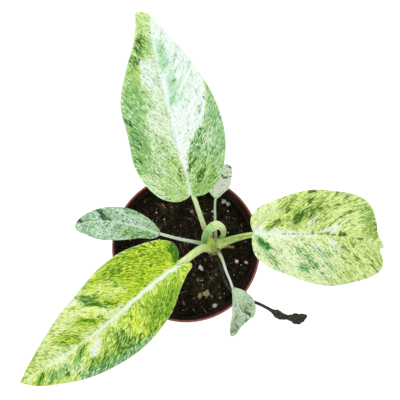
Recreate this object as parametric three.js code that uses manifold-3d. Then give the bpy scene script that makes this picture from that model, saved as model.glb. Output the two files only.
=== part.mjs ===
// A young variegated philodendron in a terracotta-coloured plastic nursery pot.
// Millimetres, +Z up. The origin is the middle of the pot's underside, +Y points to the largest back leaf.
import * as THREE from "three";
import { mergeVertices } from "three/addons/utils/BufferGeometryUtils.js";
import Module from "manifold-3d";

const wasm = await Module();
wasm.setup();

// Driving dimensions of the pot
const POT_HEIGHT = 105;
const RIM_RADIUS = 60;
const RIM_BAND = 13.5;
const FOOT_RADIUS = 42;
const WALL = 1.6;
const POT_SIDES = 48;
const UNDER_STEP = 2.5;
const PAD_RADIUS = 24;
const DRAIN_HOLES = 8;
const DRAIN_RADIUS = 3.5;
const DRAIN_CIRCLE = 31;

// Gap that touching pieces keep
const GAP = 0.3;

// Driving dimensions of the soil
const SOIL_LEVEL = 88.5;
const SOIL_BUMP = 0.9;
const HOLLOW_DEPTH = 4;
const HOLLOW_BEARING = 52;
const MOUND_HEIGHT = 3;
const MOUND_WIDTH = 15;
const SOIL_RINGS = 9;

// Driving dimensions of the plant
const BLADE_THICKNESS = 0.8;
const VEIN_ANGLE = 42;
const STEM_RADIUS = 6.6;
const STEM_PATH = [
  [23.2, 0.6, 62],
  [23.0, 0.8, 88],
  [22.6, 1.5, 100],
  [21.8, 2.8, 110],
];
const TURN = Math.PI * 2;
const rad = THREE.MathUtils.degToRad;

// Each leaf. The blade's flat outline is given in its own x (from base to tip) and y (to the left),
// and its midrib bends through space by heading and pitch in degrees at shares of its length.
// fold is how far the halves rise at the midrib, camber how far they turn down by half_width.
const LEAVES = [
  {
    name: "leaf_back",
    base: [0.6, 36.4, 152],
    length: 168,
    half_width: 38,
    heading: [[0, 102], [0.33, 106], [0.67, 103], [1, 128]],
    pitch: [[0, 16], [0.25, 8], [0.5, 0], [0.75, -2], [0.87, -31], [0.93, -68], [1, -122]],
    roll: [[0, 0], [0.7, 0], [1, 15]],
    fold: 10,
    camber: 24,
    wave: { height: 1.6, length: 62, phase: 0.6 },
    left: [[-2, 3], [-3, 10], [2, 21], [14, 30], [31, 36.5], [55, 36.5], [80, 35.5], [104, 26],
      [127, 16], [145, 8], [152, 5.6], [160, 2.7]],
    right: [[-1.5, -4], [-1, -11], [7, -21], [20, -29], [38, -35.5], [60, -36], [84, -31], [108, -22],
      [132, -8.2], [148, -4.2], [161, -2.5]],
    rows: 24,
    columns: 5,
    stalk: [[18.6, 7.6, 105], [14.4, 14, 115.5], [7.3, 24.8, 135]],
    stalk_radius: [3.3, 2.3],
  },
  {
    name: "leaf_right",
    base: [49.3, 8.2, 150],
    length: 126.5,
    half_width: 38,
    heading: [[0, -6], [0.33, 0.5], [0.67, -11], [1, -18]],
    pitch: [[0, 12], [0.25, 6], [0.5, -3], [0.68, -14], [0.8, -52], [0.88, -73], [1, -102]],
    roll: [[0, 0], [0.6, 0], [0.8, -14], [1, -38]],
    fold: 6,
    camber: 26,
    wave: { height: 1.4, length: 55, phase: 2.2 },
    left: [[-2, 3], [-3.5, 10], [1, 19], [12, 25], [28, 31], [45, 35.5], [62, 35.5], [77, 34.5], [90, 29],
      [102, 16.5], [114, 4]],
    right: [[-1, -3], [-0.5, -9], [3, -18], [12, -25], [26, -31], [44, -38], [62, -39.5], [80, -36],
      [95, -30], [108, -16], [118, -7]],
    rows: 22,
    columns: 5,
    stalk: [[26.0, 4.2, 105], [33, 5.4, 114], [41.3, 6.5, 131]],
    stalk_radius: [3.2, 2.2],
  },
  {
    name: "leaf_front",
    base: [-9.3, -16.6, 146],
    length: 151,
    half_width: 34,
    heading: [[0, -145], [0.33, -138], [0.67, -146], [1, -147]],
    pitch: [[0, 10], [0.25, 2], [0.5, -6], [0.75, -14], [1, -22]],
    roll: [[0, 0], [1, 0]],
    fold: 16,
    camber: 30,
    wave: { height: 1.2, length: 70, phase: 4.1 },
    left: [[-5, 2.6], [-9.5, 4.5], [-9, 7.5], [-3, 9.5], [7, 14], [25, 24.5], [44, 30], [61, 32],
      [80, 29.5], [101, 25], [120, 18], [138, 9.5]],
    right: [[-3, -3], [-6.5, -8], [-6.5, -16], [0, -23], [12, -28.5], [30, -34], [50, -35], [70, -32],
      [90, -28], [110, -20.5], [130, -11], [142, -5]],
    rows: 22,
    columns: 5,
    stalk: [[18.0, 0.2, 106], [10.4, -2.8, 117], [0.6, -9, 133]],
    stalk_radius: [3.4, 2.6],
  },
  {
    name: "small_leaf_left",
    base: [-22.6, 9, 124],
    length: 69,
    half_width: 14,
    heading: [[0, 158], [0.33, 167], [0.67, 179], [1, 200]],
    pitch: [[0, 10], [0.3, 2], [0.6, -6], [1, -22]],
    roll: [[0, 0], [1, 0]],
    fold: 12,
    camber: 30,
    wave: { height: 0.5, length: 40, phase: 1 },
    left: [[1, 3], [4, 5.5], [14, 8.5], [27, 13], [40, 15], [52, 14], [62, 9], [68, 4.5]],
    right: [[1.5, -3], [6, -6], [15, -9.5], [26, -12], [38, -12], [50, -9.5], [60, -6], [66.5, -2.5]],
    rows: 13,
    columns: 4,
    stalk: [[17.2, 3.0, 97.5], [8.6, 4.2, 103], [-5.7, 6.6, 114]],
    stalk_radius: [2.1, 1.2],
  },
  {
    name: "small_leaf_back",
    base: [22.3, 38.1, 120],
    length: 30.5,
    half_width: 9,
    heading: [[0, 77], [0.33, 70], [0.67, 67], [1, 72]],
    pitch: [[0, 20], [0.4, 6], [0.7, -4], [1, -20]],
    roll: [[0, 0], [1, 0]],
    fold: 12,
    camber: 26,
    wave: { height: 0.3, length: 20, phase: 0 },
    left: [[1.5, 2.5], [4, 6.5], [10, 9], [18, 9.5], [25, 7]],
    right: [[2, -2], [7, -5.5], [13, -8], [20, -6.5], [27, -4.5]],
    rows: 10,
    columns: 3,
    stalk: [[23.4, 6.2, 98.5], [23.1, 20, 106], [22.8, 29.7, 112]],
    stalk_radius: [1.6, 1.0],
  },
  {
    name: "small_leaf_front",
    base: [35.7, -33.3, 127],
    length: 49.5,
    half_width: 14,
    heading: [[0, -72], [0.33, -80], [0.67, -100], [1, -108]],
    pitch: [[0, -8], [0.3, -30], [0.6, -44], [1, -50]],
    roll: [[0, -18], [0.5, -22], [1, -10]],
    fold: 22,
    camber: 30,
    wave: { height: 0.4, length: 30, phase: 2 },
    left: [[0.5, 3], [4, 8], [10, 12.5], [18, 15], [26, 14], [30, 8.5], [37, 5.3], [45, 2.5]],
    right: [[1, -2.2], [7, -4.8], [16, -7], [27, -7], [37, -5], [45, -2.8]],
    rows: 12,
    columns: 4,
    stalk: [[25.4, -3.6, 99.5], [27.6, -9, 107], [30.8, -20.4, 119]],
    stalk_radius: [2.0, 1.1],
  },
];

// The rolled new leaf, bent over in a loop with its tip caught beside its own base
const NEW_LEAF_PATH = [
  [20.4, 2.6, 112.4],
  [16.2, 4.6, 117],
  [14.6, 9.1, 121.4],
  [16.7, 13.1, 125],
  [21.1, 15.4, 127.5],
  [25.3, 14.8, 126.5],
  [27.5, 11.8, 123],
  [27.2, 7.8, 118.5],
  [25.6, 5.6, 114.8],
];
const NEW_LEAF_HALF_WIDTH = [[0, 2.2], [0.3, 2.7], [0.55, 3.9], [0.7, 3.2], [0.84, 2.1], [1, 1.6]];
const NEW_LEAF_HALF_DEPTH = [[0, 2.2], [0.5, 2.5], [1, 1.5]];

// The dead leaf: a dried stalk that lies over the rim and ends in its shrivelled blade
const DEAD_LEAF_PATH = [
  [24.2, -4.4, 95.6],
  [28.3, -16.2, 101],
  [32.2, -29.3, 105.6],
  [40.5, -38.8, 108],
  [55.6, -44.1, 106],
  [66.2, -48.7, 102],
  [73.5, -53, 99],
  [81.6, -55.6, 97],
  [90, -57, 95.6],
  [97.6, -55, 94.6],
  [99.3, -54.1, 94.5],
];
const DEAD_LEAF_HALF_WIDTH = [[0, 1.3], [0.66, 1.3], [0.705, 1.8], [0.745, 3.2], [0.79, 2.8], [0.83, 1.9],
  [0.865, 2.6], [0.905, 4.2], [0.945, 3.5], [0.98, 2], [1, 0.7]];
const DEAD_LEAF_FLATNESS = [[0, 1], [0.66, 1], [0.74, 0.6], [1, 0.5]];

// A dried root stub that pokes out of the stem just above the soil
const ROOT_STUB_PATH = [
  [26.6, 0.8, 96.6],
  [33.5, 1.6, 97.2],
  [39.7, 0.8, 96.4],
];
const ROOT_STUB_RADIUS = 1.3;

// White perlite and tan bark that lie in the soil: x, y, and half of the length, width and height
const GRAINS = [
  [32.4, 39.9, 2.5, 2.1, 2.0],
  [35.6, 38.1, 1.8, 1.9, 1.7],
  [12.7, -15.7, 1.7, 2.6, 1.8],
  [12.0, -38.5, 2.2, 2.1, 1.6],
  [17.2, -36.9, 3.0, 3.1, 2.2],
  [24.3, -46.4, 2.3, 1.8, 1.7],
  [42.3, -10.2, 1.9, 1.5, 1.4],
  [50.4, -10.9, 1.3, 1.5, 1.2],
  [5.3, 31.5, 1.7, 1.7, 1.3],
  [22.7, 31.6, 1.2, 1.2, 1.0],
];
const CRUMB_COUNT = 24;
const CRUMB_SIZE = [1.3, 2.8];

const MATERIALS = {
  pot: new THREE.MeshStandardMaterial({ color: "#9c4a3c", roughness: 0.5, metalness: 0 }),
  soil: new THREE.MeshStandardMaterial({ color: "#2a211b", roughness: 1, metalness: 0 }),
  stem: new THREE.MeshStandardMaterial({ color: "#a3ab6a", roughness: 0.6, metalness: 0 }),
  blade: new THREE.MeshStandardMaterial({ color: "#b4d38c", roughness: 0.45, metalness: 0 }),
  stalk: new THREE.MeshStandardMaterial({ color: "#cadd92", roughness: 0.45, metalness: 0 }),
  new_leaf: new THREE.MeshStandardMaterial({ color: "#a5cf74", roughness: 0.4, metalness: 0 }),
  dead_leaf: new THREE.MeshStandardMaterial({ color: "#332822", roughness: 0.9, metalness: 0 }),
  root: new THREE.MeshStandardMaterial({ color: "#a99a74", roughness: 0.8, metalness: 0 }),
};

// A closed geometry as a solid that can be cut and joined.
function solidOf(geometry) {
  const bare = new THREE.BufferGeometry().setAttribute("position", geometry.getAttribute("position"));
  if (geometry.index) bare.setIndex(geometry.index);
  const merged = mergeVertices(bare, 1e-4);
  return new wasm.Manifold(
    new wasm.Mesh({
      numProp: 3,
      vertProperties: new Float32Array(merged.getAttribute("position").array),
      triVerts: new Uint32Array(merged.index.array),
    }),
  );
}

// The largest body of a solid, as a geometry.
function geometryOf(solid) {
  const largest = solid.decompose().reduce((a, b) => (a.volume() > b.volume() ? a : b));
  const mesh = largest.getMesh();
  const geometry = new THREE.BufferGeometry()
    .setAttribute("position", new THREE.BufferAttribute(new Float32Array(mesh.vertProperties), 3))
    .setIndex(new THREE.BufferAttribute(new Uint32Array(mesh.triVerts), 1));
  geometry.computeVertexNormals();
  return geometry;
}

// A number that changes smoothly between stations, each a share of the length and a value there.
function along(stations, share) {
  const last = stations.length - 1;
  const u = THREE.MathUtils.clamp(share, stations[0][0], stations[last][0]);
  let i = 0;
  while (i < last - 1 && u >= stations[i + 1][0]) i += 1;
  const slope = (k) => {
    const a = stations[Math.max(k - 1, 0)];
    const b = stations[Math.min(k + 1, last)];
    return (b[1] - a[1]) / (b[0] - a[0]);
  };
  const span = stations[i + 1][0] - stations[i][0];
  const t = (u - stations[i][0]) / span;
  return (
    (2 * t ** 3 - 3 * t ** 2 + 1) * stations[i][1] +
    (t ** 3 - 2 * t ** 2 + t) * span * slope(i) +
    (3 * t ** 2 - 2 * t ** 3) * stations[i + 1][1] +
    (t ** 3 - t ** 2) * span * slope(i + 1)
  );
}

// The direction of a leaf's midrib at a share of its length.
function midribDirection(leaf, share) {
  const heading = rad(along(leaf.heading, share));
  const pitch = rad(along(leaf.pitch, share));
  return new THREE.Vector3(
    Math.cos(pitch) * Math.cos(heading),
    Math.cos(pitch) * Math.sin(heading),
    Math.sin(pitch),
  );
}

// The points of a leaf's midrib, a step apart.
const MIDRIB_STEPS = 400;
function midribPoints(leaf) {
  const points = [new THREE.Vector3(...leaf.base)];
  const step = leaf.length / MIDRIB_STEPS;
  for (let i = 0; i < MIDRIB_STEPS; i += 1) {
    const way = midribDirection(leaf, (i + 0.5) / MIDRIB_STEPS);
    points.push(points[i].clone().addScaledVector(way, step));
  }
  return points;
}

// The midrib's place at x, with the directions along it, to its left and up out of the blade.
function midribFrame(leaf, x) {
  const share = THREE.MathUtils.clamp(x / leaf.length, 0, 1);
  const ahead = midribDirection(leaf, share);
  const heading = rad(along(leaf.heading, share));
  const roll = rad(along(leaf.roll, share));
  const level = new THREE.Vector3(-Math.sin(heading), Math.cos(heading), 0);
  const above = new THREE.Vector3().crossVectors(ahead, level);
  const left = level.multiplyScalar(Math.cos(roll)).addScaledVector(above, Math.sin(roll));
  const up = new THREE.Vector3().crossVectors(ahead, left);
  const place = share * MIDRIB_STEPS;
  const i = Math.min(Math.floor(place), MIDRIB_STEPS - 1);
  const centre = leaf.midrib[i].clone().lerp(leaf.midrib[i + 1], place - i);
  centre.addScaledVector(ahead, Math.min(x, 0));
  return { centre, ahead, left, up };
}

// The place in space of the point x, y of the flat blade.
function bladePoint(leaf, x, y) {
  const { centre, left, up } = midribFrame(leaf, x);
  const out = Math.abs(y);
  const fold = rad(leaf.fold);
  const bend = rad(leaf.camber) / leaf.half_width;
  const side = (Math.sin(fold) - Math.sin(fold - bend * out)) / bend;
  const rise = (Math.cos(fold - bend * out) - Math.cos(fold)) / bend;
  const turn = (TURN * x) / leaf.wave.length + leaf.wave.phase + (y > 0 ? 1.3 : 0);
  const wave = leaf.wave.height * (out / leaf.half_width) ** 2 * Math.sin(turn);
  return centre.addScaledVector(left, Math.sign(y) * side).addScaledVector(up, rise + wave);
}

// The blade's upward direction at x, y.
function bladeNormal(leaf, x, y) {
  const reach = 0.4;
  const across = bladePoint(leaf, x, y + reach).sub(bladePoint(leaf, x, y - reach));
  const down = bladePoint(leaf, x + reach, y).sub(bladePoint(leaf, x - reach, y));
  return new THREE.Vector3().crossVectors(down, across).normalize();
}

// One half's margin from the base round the lobe to the tip, and where a side vein from x meets it.
function marginOf(leaf, side) {
  const flat = [[0, 0], ...leaf[side], [leaf.length, 0]];
  const points = flat.map(([x, y]) => new THREE.Vector3(x, y, 0));
  const curve = new THREE.CatmullRomCurve3(points, false, "centripetal");
  curve.arcLengthDivisions = 400;
  const reach = 1 / Math.tan(rad(VEIN_ANGLE));
  const origin = (u) => {
    const p = curve.getPointAt(u);
    return p.x - Math.abs(p.y) * reach;
  };
  const meets = (x, from) => {
    let low = from;
    let high = 1;
    for (let i = 0; i < 40; i += 1) {
      const middle = (low + high) / 2;
      if (origin(middle) < x) low = middle;
      else high = middle;
    }
    return (low + high) / 2;
  };
  let lobe = 1;
  while (lobe > 0 && origin(lobe) > 0) lobe -= 0.002;
  return { curve, meets, lobe: meets(0, lobe) };
}

// The flat points of one half: a row for each side vein, from the midrib out to the margin.
const LOBE_ROWS = 5;
function halfRows(leaf, side) {
  const margin = marginOf(leaf, side);
  const rows = [];
  for (let i = 1; i <= LOBE_ROWS; i += 1) {
    rows.push([0, margin.curve.getPointAt((margin.lobe * i) / LOBE_ROWS)]);
  }
  for (let i = 1; i < leaf.rows; i += 1) {
    const x = leaf.length * (1 - (1 - i / leaf.rows) ** 1.3);
    rows.push([x, margin.curve.getPointAt(margin.meets(x, margin.lobe))]);
  }
  return rows.map(([x, out]) => {
    const row = [];
    for (let j = 0; j <= leaf.columns; j += 1) {
      const t = j / leaf.columns;
      row.push([x + (out.x - x) * t, out.y * t]);
    }
    return row;
  });
}

// A blade: an upper and a lower skin split into triangles alike, joined along the margin.
function bladeGeometry(leaf) {
  const places = [];
  const numbers = new Map();
  const faces = [];
  const vertex = (x, y, top) => {
    const key = `${x.toFixed(4)},${y.toFixed(4)},${top}`;
    if (!numbers.has(key)) {
      numbers.set(key, places.length);
      const half = (top ? 1 : -1) * (BLADE_THICKNESS / 2);
      places.push(bladePoint(leaf, x, y).addScaledVector(bladeNormal(leaf, x, y), half));
    }
    return numbers.get(key);
  };
  const triangle = (a, b, c) => {
    if (a !== b && b !== c && c !== a) faces.push(a, b, c);
  };
  const skins = (p, q, r, left) => {
    const [a, b, c] = [p, q, r].map(([x, y]) => vertex(x, y, true));
    const [d, e, f] = [p, q, r].map(([x, y]) => vertex(x, y, false));
    if (left) {
      triangle(a, b, c);
      triangle(d, f, e);
    } else {
      triangle(a, c, b);
      triangle(d, e, f);
    }
  };
  const edge = (p, q, left) => {
    const [a, b] = [p, q].map(([x, y]) => vertex(x, y, true));
    const [c, d] = [p, q].map(([x, y]) => vertex(x, y, false));
    if (left) {
      triangle(a, b, d);
      triangle(a, d, c);
    } else {
      triangle(a, d, b);
      triangle(a, c, d);
    }
  };
  for (const side of ["left", "right"]) {
    const left = side === "left";
    const base = new Array(leaf.columns + 1).fill([0, 0]);
    const tip = new Array(leaf.columns + 1).fill([leaf.length, 0]);
    const rows = [base, ...halfRows(leaf, side), tip];
    for (let i = 0; i + 1 < rows.length; i += 1) {
      for (let j = 0; j < leaf.columns; j += 1) {
        skins(rows[i][j], rows[i + 1][j], rows[i + 1][j + 1], left);
        skins(rows[i][j], rows[i + 1][j + 1], rows[i][j + 1], left);
      }
      edge(rows[i][leaf.columns], rows[i + 1][leaf.columns], left);
    }
  }
  const geometry = new THREE.BufferGeometry().setFromPoints(places).setIndex(faces);
  geometry.computeVertexNormals();
  return geometry;
}

// A closed tube along a curve. size gives its half width and half depth at a share of the length.
function tube(curve, size, sides, steps) {
  const places = [];
  const faces = [];
  let normal = new THREE.Vector3(0, 0, 1);
  for (let i = 0; i <= steps; i += 1) {
    const share = i / steps;
    const centre = curve.getPointAt(share);
    const ahead = curve.getTangentAt(share);
    normal = normal.clone().addScaledVector(ahead, -normal.dot(ahead)).normalize();
    const across = new THREE.Vector3().crossVectors(normal, ahead);
    const [width, depth] = size(share);
    for (let k = 0; k < sides; k += 1) {
      const turn = (TURN * k) / sides;
      const out = across.clone().multiplyScalar(Math.cos(turn) * width);
      places.push(centre.clone().add(out).addScaledVector(normal, Math.sin(turn) * depth));
    }
  }
  for (let i = 0; i < steps; i += 1) {
    for (let k = 0; k < sides; k += 1) {
      const a = i * sides + k;
      const b = i * sides + ((k + 1) % sides);
      faces.push(a, b, b + sides, a, b + sides, a + sides);
    }
  }
  for (let k = 1; k + 1 < sides; k += 1) {
    const end = steps * sides;
    faces.push(0, k + 1, k, end, end + k, end + k + 1);
  }
  const geometry = new THREE.BufferGeometry().setFromPoints(places).setIndex(faces);
  geometry.computeVertexNormals();
  return geometry;
}

const curveThrough = (points) =>
  new THREE.CatmullRomCurve3(points.map((p) => new THREE.Vector3(...p)), false, "centripetal");

// The stalk of a leaf, from its socket in the stem up to the blade and on under it as the midrib.
const MIDRIB_END = 0.9;
const MIDRIB_TIP_RADIUS = 0.5;
const STALK_SIDES = 8;
function stalkGeometry(leaf, extra = 0) {
  const [foot, top] = leaf.stalk_radius;
  const stalk = leaf.stalk.map((p) => new THREE.Vector3(...p));
  const end = leaf.length * MIDRIB_END;
  const under = [];
  const count = Math.max(6, Math.round(end / 12));
  for (let i = 0; i <= count; i += 1) {
    const x = (end * i) / count;
    const { centre, up } = midribFrame(leaf, x);
    const radius = THREE.MathUtils.lerp(top, MIDRIB_TIP_RADIUS, i / count);
    const drop = (radius + BLADE_THICKNESS / 2 + GAP) / Math.cos(rad(leaf.fold)) + 0.15;
    under.push(centre.addScaledVector(up, -drop));
  }
  const curve = new THREE.CatmullRomCurve3([...stalk, ...under], false, "centripetal");
  curve.arcLengthDivisions = 600;
  const whole = curve.getLength();
  const joint = new THREE.CatmullRomCurve3([...stalk, under[0]], false, "centripetal").getLength() / whole;
  const size = (share) => {
    const radius =
      share < joint
        ? THREE.MathUtils.lerp(foot, top, Math.min(1, (share / joint) ** 0.7))
        : THREE.MathUtils.lerp(top, MIDRIB_TIP_RADIUS, (share - joint) / (1 - joint));
    return [radius + extra, radius + extra];
  };
  return tube(curve, size, STALK_SIDES, Math.max(14, Math.round(whole / 7)));
}

// The pot: one turned profile with a stepped rim band and a stepped underside, and its drain holes.
function potProfile() {
  const step = POT_HEIGHT - RIM_BAND;
  return [
    [0, 0],
    [PAD_RADIUS, 0],
    [PAD_RADIUS + 1, UNDER_STEP],
    [FOOT_RADIUS - 5, UNDER_STEP],
    [FOOT_RADIUS - 4, 0],
    [FOOT_RADIUS, 0],
    [RIM_RADIUS - 3, step - 1],
    [RIM_RADIUS - 1.2, step],
    [RIM_RADIUS, POT_HEIGHT - 1],
    [RIM_RADIUS - 0.4, POT_HEIGHT],
    [RIM_RADIUS - WALL, POT_HEIGHT],
    [RIM_RADIUS - 1.2 - WALL, step + 1.5],
    [RIM_RADIUS - 3 - WALL, step - 0.5],
    [FOOT_RADIUS - WALL + 0.3, UNDER_STEP + WALL],
    [PAD_RADIUS - 0.2, UNDER_STEP + WALL],
    [PAD_RADIUS - 1, WALL],
    [0, WALL],
  ].map(([r, z]) => new THREE.Vector2(r, z));
}

function potGeometry() {
  const turned = new THREE.LatheGeometry(potProfile(), POT_SIDES).rotateX(Math.PI / 2);
  let solid = solidOf(turned);
  for (let i = 0; i < DRAIN_HOLES; i += 1) {
    const turn = (TURN * (i + 0.5)) / DRAIN_HOLES;
    const drill = new THREE.CylinderGeometry(DRAIN_RADIUS, DRAIN_RADIUS, 12, 12)
      .rotateX(Math.PI / 2)
      .translate(DRAIN_CIRCLE * Math.cos(turn), DRAIN_CIRCLE * Math.sin(turn), UNDER_STEP);
    solid = solid.subtract(solidOf(drill));
  }
  return geometryOf(solid);
}

// The inner radius of the pot's wall below its rim band, less the gap.
function soilRadius(z) {
  const low = [UNDER_STEP + WALL, FOOT_RADIUS - WALL + 0.3];
  const high = [POT_HEIGHT - RIM_BAND - 0.5, RIM_RADIUS - 3 - WALL];
  return low[1] + ((high[1] - low[1]) * (z - low[0])) / (high[0] - low[0]) - GAP;
}

// The height of the soil: it is lower at one side, heaped round the stem, and lumpy all over.
function soilHeight(x, y) {
  const radius = Math.hypot(x, y);
  const turn = Math.atan2(y, x) - rad(HOLLOW_BEARING);
  const hollow = HOLLOW_DEPTH * (radius / RIM_RADIUS) ** 2 * (0.5 + 0.5 * Math.cos(turn)) ** 2;
  const from_stem = Math.hypot(x - STEM_PATH[1][0], y - STEM_PATH[1][1]);
  const mound = MOUND_HEIGHT * Math.exp(-((from_stem / MOUND_WIDTH) ** 2));
  const lumps = Math.sin(x * 0.61 + 1.1 * Math.sin(y * 0.37)) * Math.cos(y * 0.53 - 0.8 * Math.sin(x * 0.29));
  return SOIL_LEVEL - hollow + mound + SOIL_BUMP * lumps;
}

// Seeded numbers from 0 to 1, the same at each build.
function seeded(seed) {
  let state = seed;
  return () => {
    state = (state * 1664525 + 1013904223) % 4294967296;
    return state / 4294967296;
  };
}

// One grain: a faceted stone of three half sizes, sunk by a third in the soil.
function grain(x, y, sizes, turn, detail) {
  const shape = new THREE.IcosahedronGeometry(1, detail)
    .scale(...sizes)
    .rotateZ(turn)
    .translate(x, y, soilHeight(x, y) + sizes[2] * 0.35);
  return solidOf(shape);
}

function soilGeometry() {
  const floor = UNDER_STEP + WALL + GAP;
  const places = [];
  const faces = [];
  const ring = (radius, height) => {
    for (let k = 0; k < POT_SIDES; k += 1) {
      const turn = (TURN * k) / POT_SIDES;
      const r = radius(turn);
      const x = r * Math.sin(turn);
      const y = -r * Math.cos(turn);
      places.push(new THREE.Vector3(x, y, height(x, y)));
    }
  };
  const edge = (turn) => {
    const bearing = [Math.sin(turn), -Math.cos(turn)];
    const level = soilHeight(bearing[0] * 54, bearing[1] * 54);
    return soilRadius(level);
  };
  ring(() => soilRadius(floor), () => floor);
  for (let i = 0; i < SOIL_RINGS; i += 1) {
    const share = 1 - i / SOIL_RINGS;
    ring((turn) => edge(turn) * share, soilHeight);
  }
  const bottom = places.push(new THREE.Vector3(0, 0, floor)) - 1;
  const middle = places.push(new THREE.Vector3(0, 0, soilHeight(0, 0))) - 1;
  for (let k = 0; k < POT_SIDES; k += 1) {
    const n = (k + 1) % POT_SIDES;
    faces.push(bottom, n, k);
    for (let i = 0; i < SOIL_RINGS; i += 1) {
      const a = i * POT_SIDES;
      const b = a + POT_SIDES;
      faces.push(a + k, a + n, b + n, a + k, b + n, b + k);
    }
    faces.push(SOIL_RINGS * POT_SIDES + k, SOIL_RINGS * POT_SIDES + n, middle);
  }
  let solid = solidOf(new THREE.BufferGeometry().setFromPoints(places).setIndex(faces));
  const random = seeded(7);
  for (const [x, y, ...sizes] of GRAINS) {
    solid = solid.add(grain(x, y, sizes, random() * Math.PI, 1));
  }
  for (let i = 0; i < CRUMB_COUNT; i += 1) {
    const radius = 49 * Math.sqrt(random());
    const turn = TURN * random();
    const size = THREE.MathUtils.lerp(...CRUMB_SIZE, random());
    const [x, y] = [radius * Math.cos(turn), radius * Math.sin(turn)];
    const sizes = [size, size * (0.6 + 0.4 * random()), size * 0.6];
    if (Math.hypot(x - STEM_PATH[1][0], y - STEM_PATH[1][1]) < 13) continue;
    solid = solid.add(grain(x, y, sizes, random() * Math.PI, 0));
  }
  const [x, y, low] = STEM_PATH[0];
  const hole = new THREE.CylinderGeometry(STEM_RADIUS + 0.8, STEM_RADIUS + 0.8, 60, 24)
    .rotateX(Math.PI / 2)
    .translate(x - 0.2, y + 0.4, low - GAP + 30);
  return geometryOf(solid.subtract(solidOf(hole)));
}

// The stem: a stout column with leaf scars, whose crown holds a socket for each stalk.
const SCAR_LEVELS = [0.6, 0.74, 0.87];
function stemSolid() {
  const size = (share) => {
    const crown = Math.sqrt(Math.max(0.12, 1 - Math.max(0, (share - 0.86) / 0.15) ** 2));
    const scars = SCAR_LEVELS.reduce((sum, at) => sum + 0.35 * Math.exp(-(((share - at) / 0.018) ** 2)), 0);
    const radius = (STEM_RADIUS - 0.4 + scars) * crown;
    return [radius, radius];
  };
  return solidOf(tube(curveThrough(STEM_PATH), size, 16, 28));
}

// The dried stalk, and the shrivelled blade that swells and thins along its length.
function deadLeafGeometry(extra = 0) {
  const size = (share) => {
    const width = along(DEAD_LEAF_HALF_WIDTH, share);
    return [width + extra, Math.max(0.6, width * along(DEAD_LEAF_FLATNESS, share)) + extra];
  };
  return tube(curveThrough(DEAD_LEAF_PATH), size, 8, 44);
}

const newLeafGeometry = (extra = 0) => {
  const size = (share) => {
    return [along(NEW_LEAF_HALF_WIDTH, share) + extra, along(NEW_LEAF_HALF_DEPTH, share) + extra];
  };
  return tube(curveThrough(NEW_LEAF_PATH), size, 10, 24);
};

const rootStubGeometry = (extra = 0) => {
  const size = (share) => {
    const radius = ROOT_STUB_RADIUS * (1 - 0.25 * share) + extra;
    return [radius, radius];
  };
  return tube(curveThrough(ROOT_STUB_PATH), size, 8, 8);
};

// The plant in its pot. Each piece is one named mesh in the part's own frame.
const plant = new THREE.Group();
const place = (name, geometry, material) => {
  const mesh = new THREE.Mesh(geometry, material);
  mesh.name = name;
  plant.add(mesh);
};

for (const leaf of LEAVES) leaf.midrib = midribPoints(leaf);

place("pot", potGeometry(), MATERIALS.pot);
place("soil", soilGeometry(), MATERIALS.soil);

let stem = stemSolid();
for (const leaf of LEAVES) stem = stem.subtract(solidOf(stalkGeometry(leaf, GAP)));
stem = stem.subtract(solidOf(newLeafGeometry(GAP)));
stem = stem.subtract(solidOf(deadLeafGeometry(GAP)));
stem = stem.subtract(solidOf(rootStubGeometry(GAP)));
place("stem", geometryOf(stem), MATERIALS.stem);

for (const leaf of LEAVES) {
  place(`${leaf.name}_blade`, bladeGeometry(leaf), MATERIALS.blade);
  place(`${leaf.name}_stalk`, stalkGeometry(leaf), MATERIALS.stalk);
}
place("new_leaf", newLeafGeometry(), MATERIALS.new_leaf);
place("dead_leaf", deadLeafGeometry(), MATERIALS.dead_leaf);
place("root_stub", rootStubGeometry(), MATERIALS.root);

export default plant;
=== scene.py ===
"""A young variegated philodendron in a terracotta-coloured pot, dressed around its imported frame."""

import math
import random

import bpy
import numpy as np
from bpy.props import FloatProperty, FloatVectorProperty, IntProperty, PointerProperty
from mathutils import Matrix, Vector, noise


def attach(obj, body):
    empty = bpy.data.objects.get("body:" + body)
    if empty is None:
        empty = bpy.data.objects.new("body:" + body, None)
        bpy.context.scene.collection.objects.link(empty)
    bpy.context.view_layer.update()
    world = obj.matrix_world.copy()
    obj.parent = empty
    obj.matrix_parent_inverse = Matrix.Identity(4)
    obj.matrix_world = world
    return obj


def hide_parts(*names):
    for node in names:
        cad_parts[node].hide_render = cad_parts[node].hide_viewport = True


bl_info = {
    "name": "Potted variegated philodendron",
    "version": (1, 0, 0),
    "blender": (4, 5, 0),
    "location": "3D View > Sidebar > Plant",
    "description": "Builds the leaves, stalks, soil and pot of a young variegated philodendron",
    "category": "Object",
}

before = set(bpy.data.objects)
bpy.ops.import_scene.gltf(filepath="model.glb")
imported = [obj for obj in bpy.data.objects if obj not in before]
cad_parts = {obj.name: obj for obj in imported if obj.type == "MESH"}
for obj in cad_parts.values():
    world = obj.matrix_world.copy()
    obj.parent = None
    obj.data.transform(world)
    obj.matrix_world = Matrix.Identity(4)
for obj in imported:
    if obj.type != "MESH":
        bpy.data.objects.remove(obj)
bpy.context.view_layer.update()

MM = 0.001
TURN = math.pi * 2
UV_SPAN = 200  # The millimetres along a piece that one unit of its UV map holds

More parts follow.
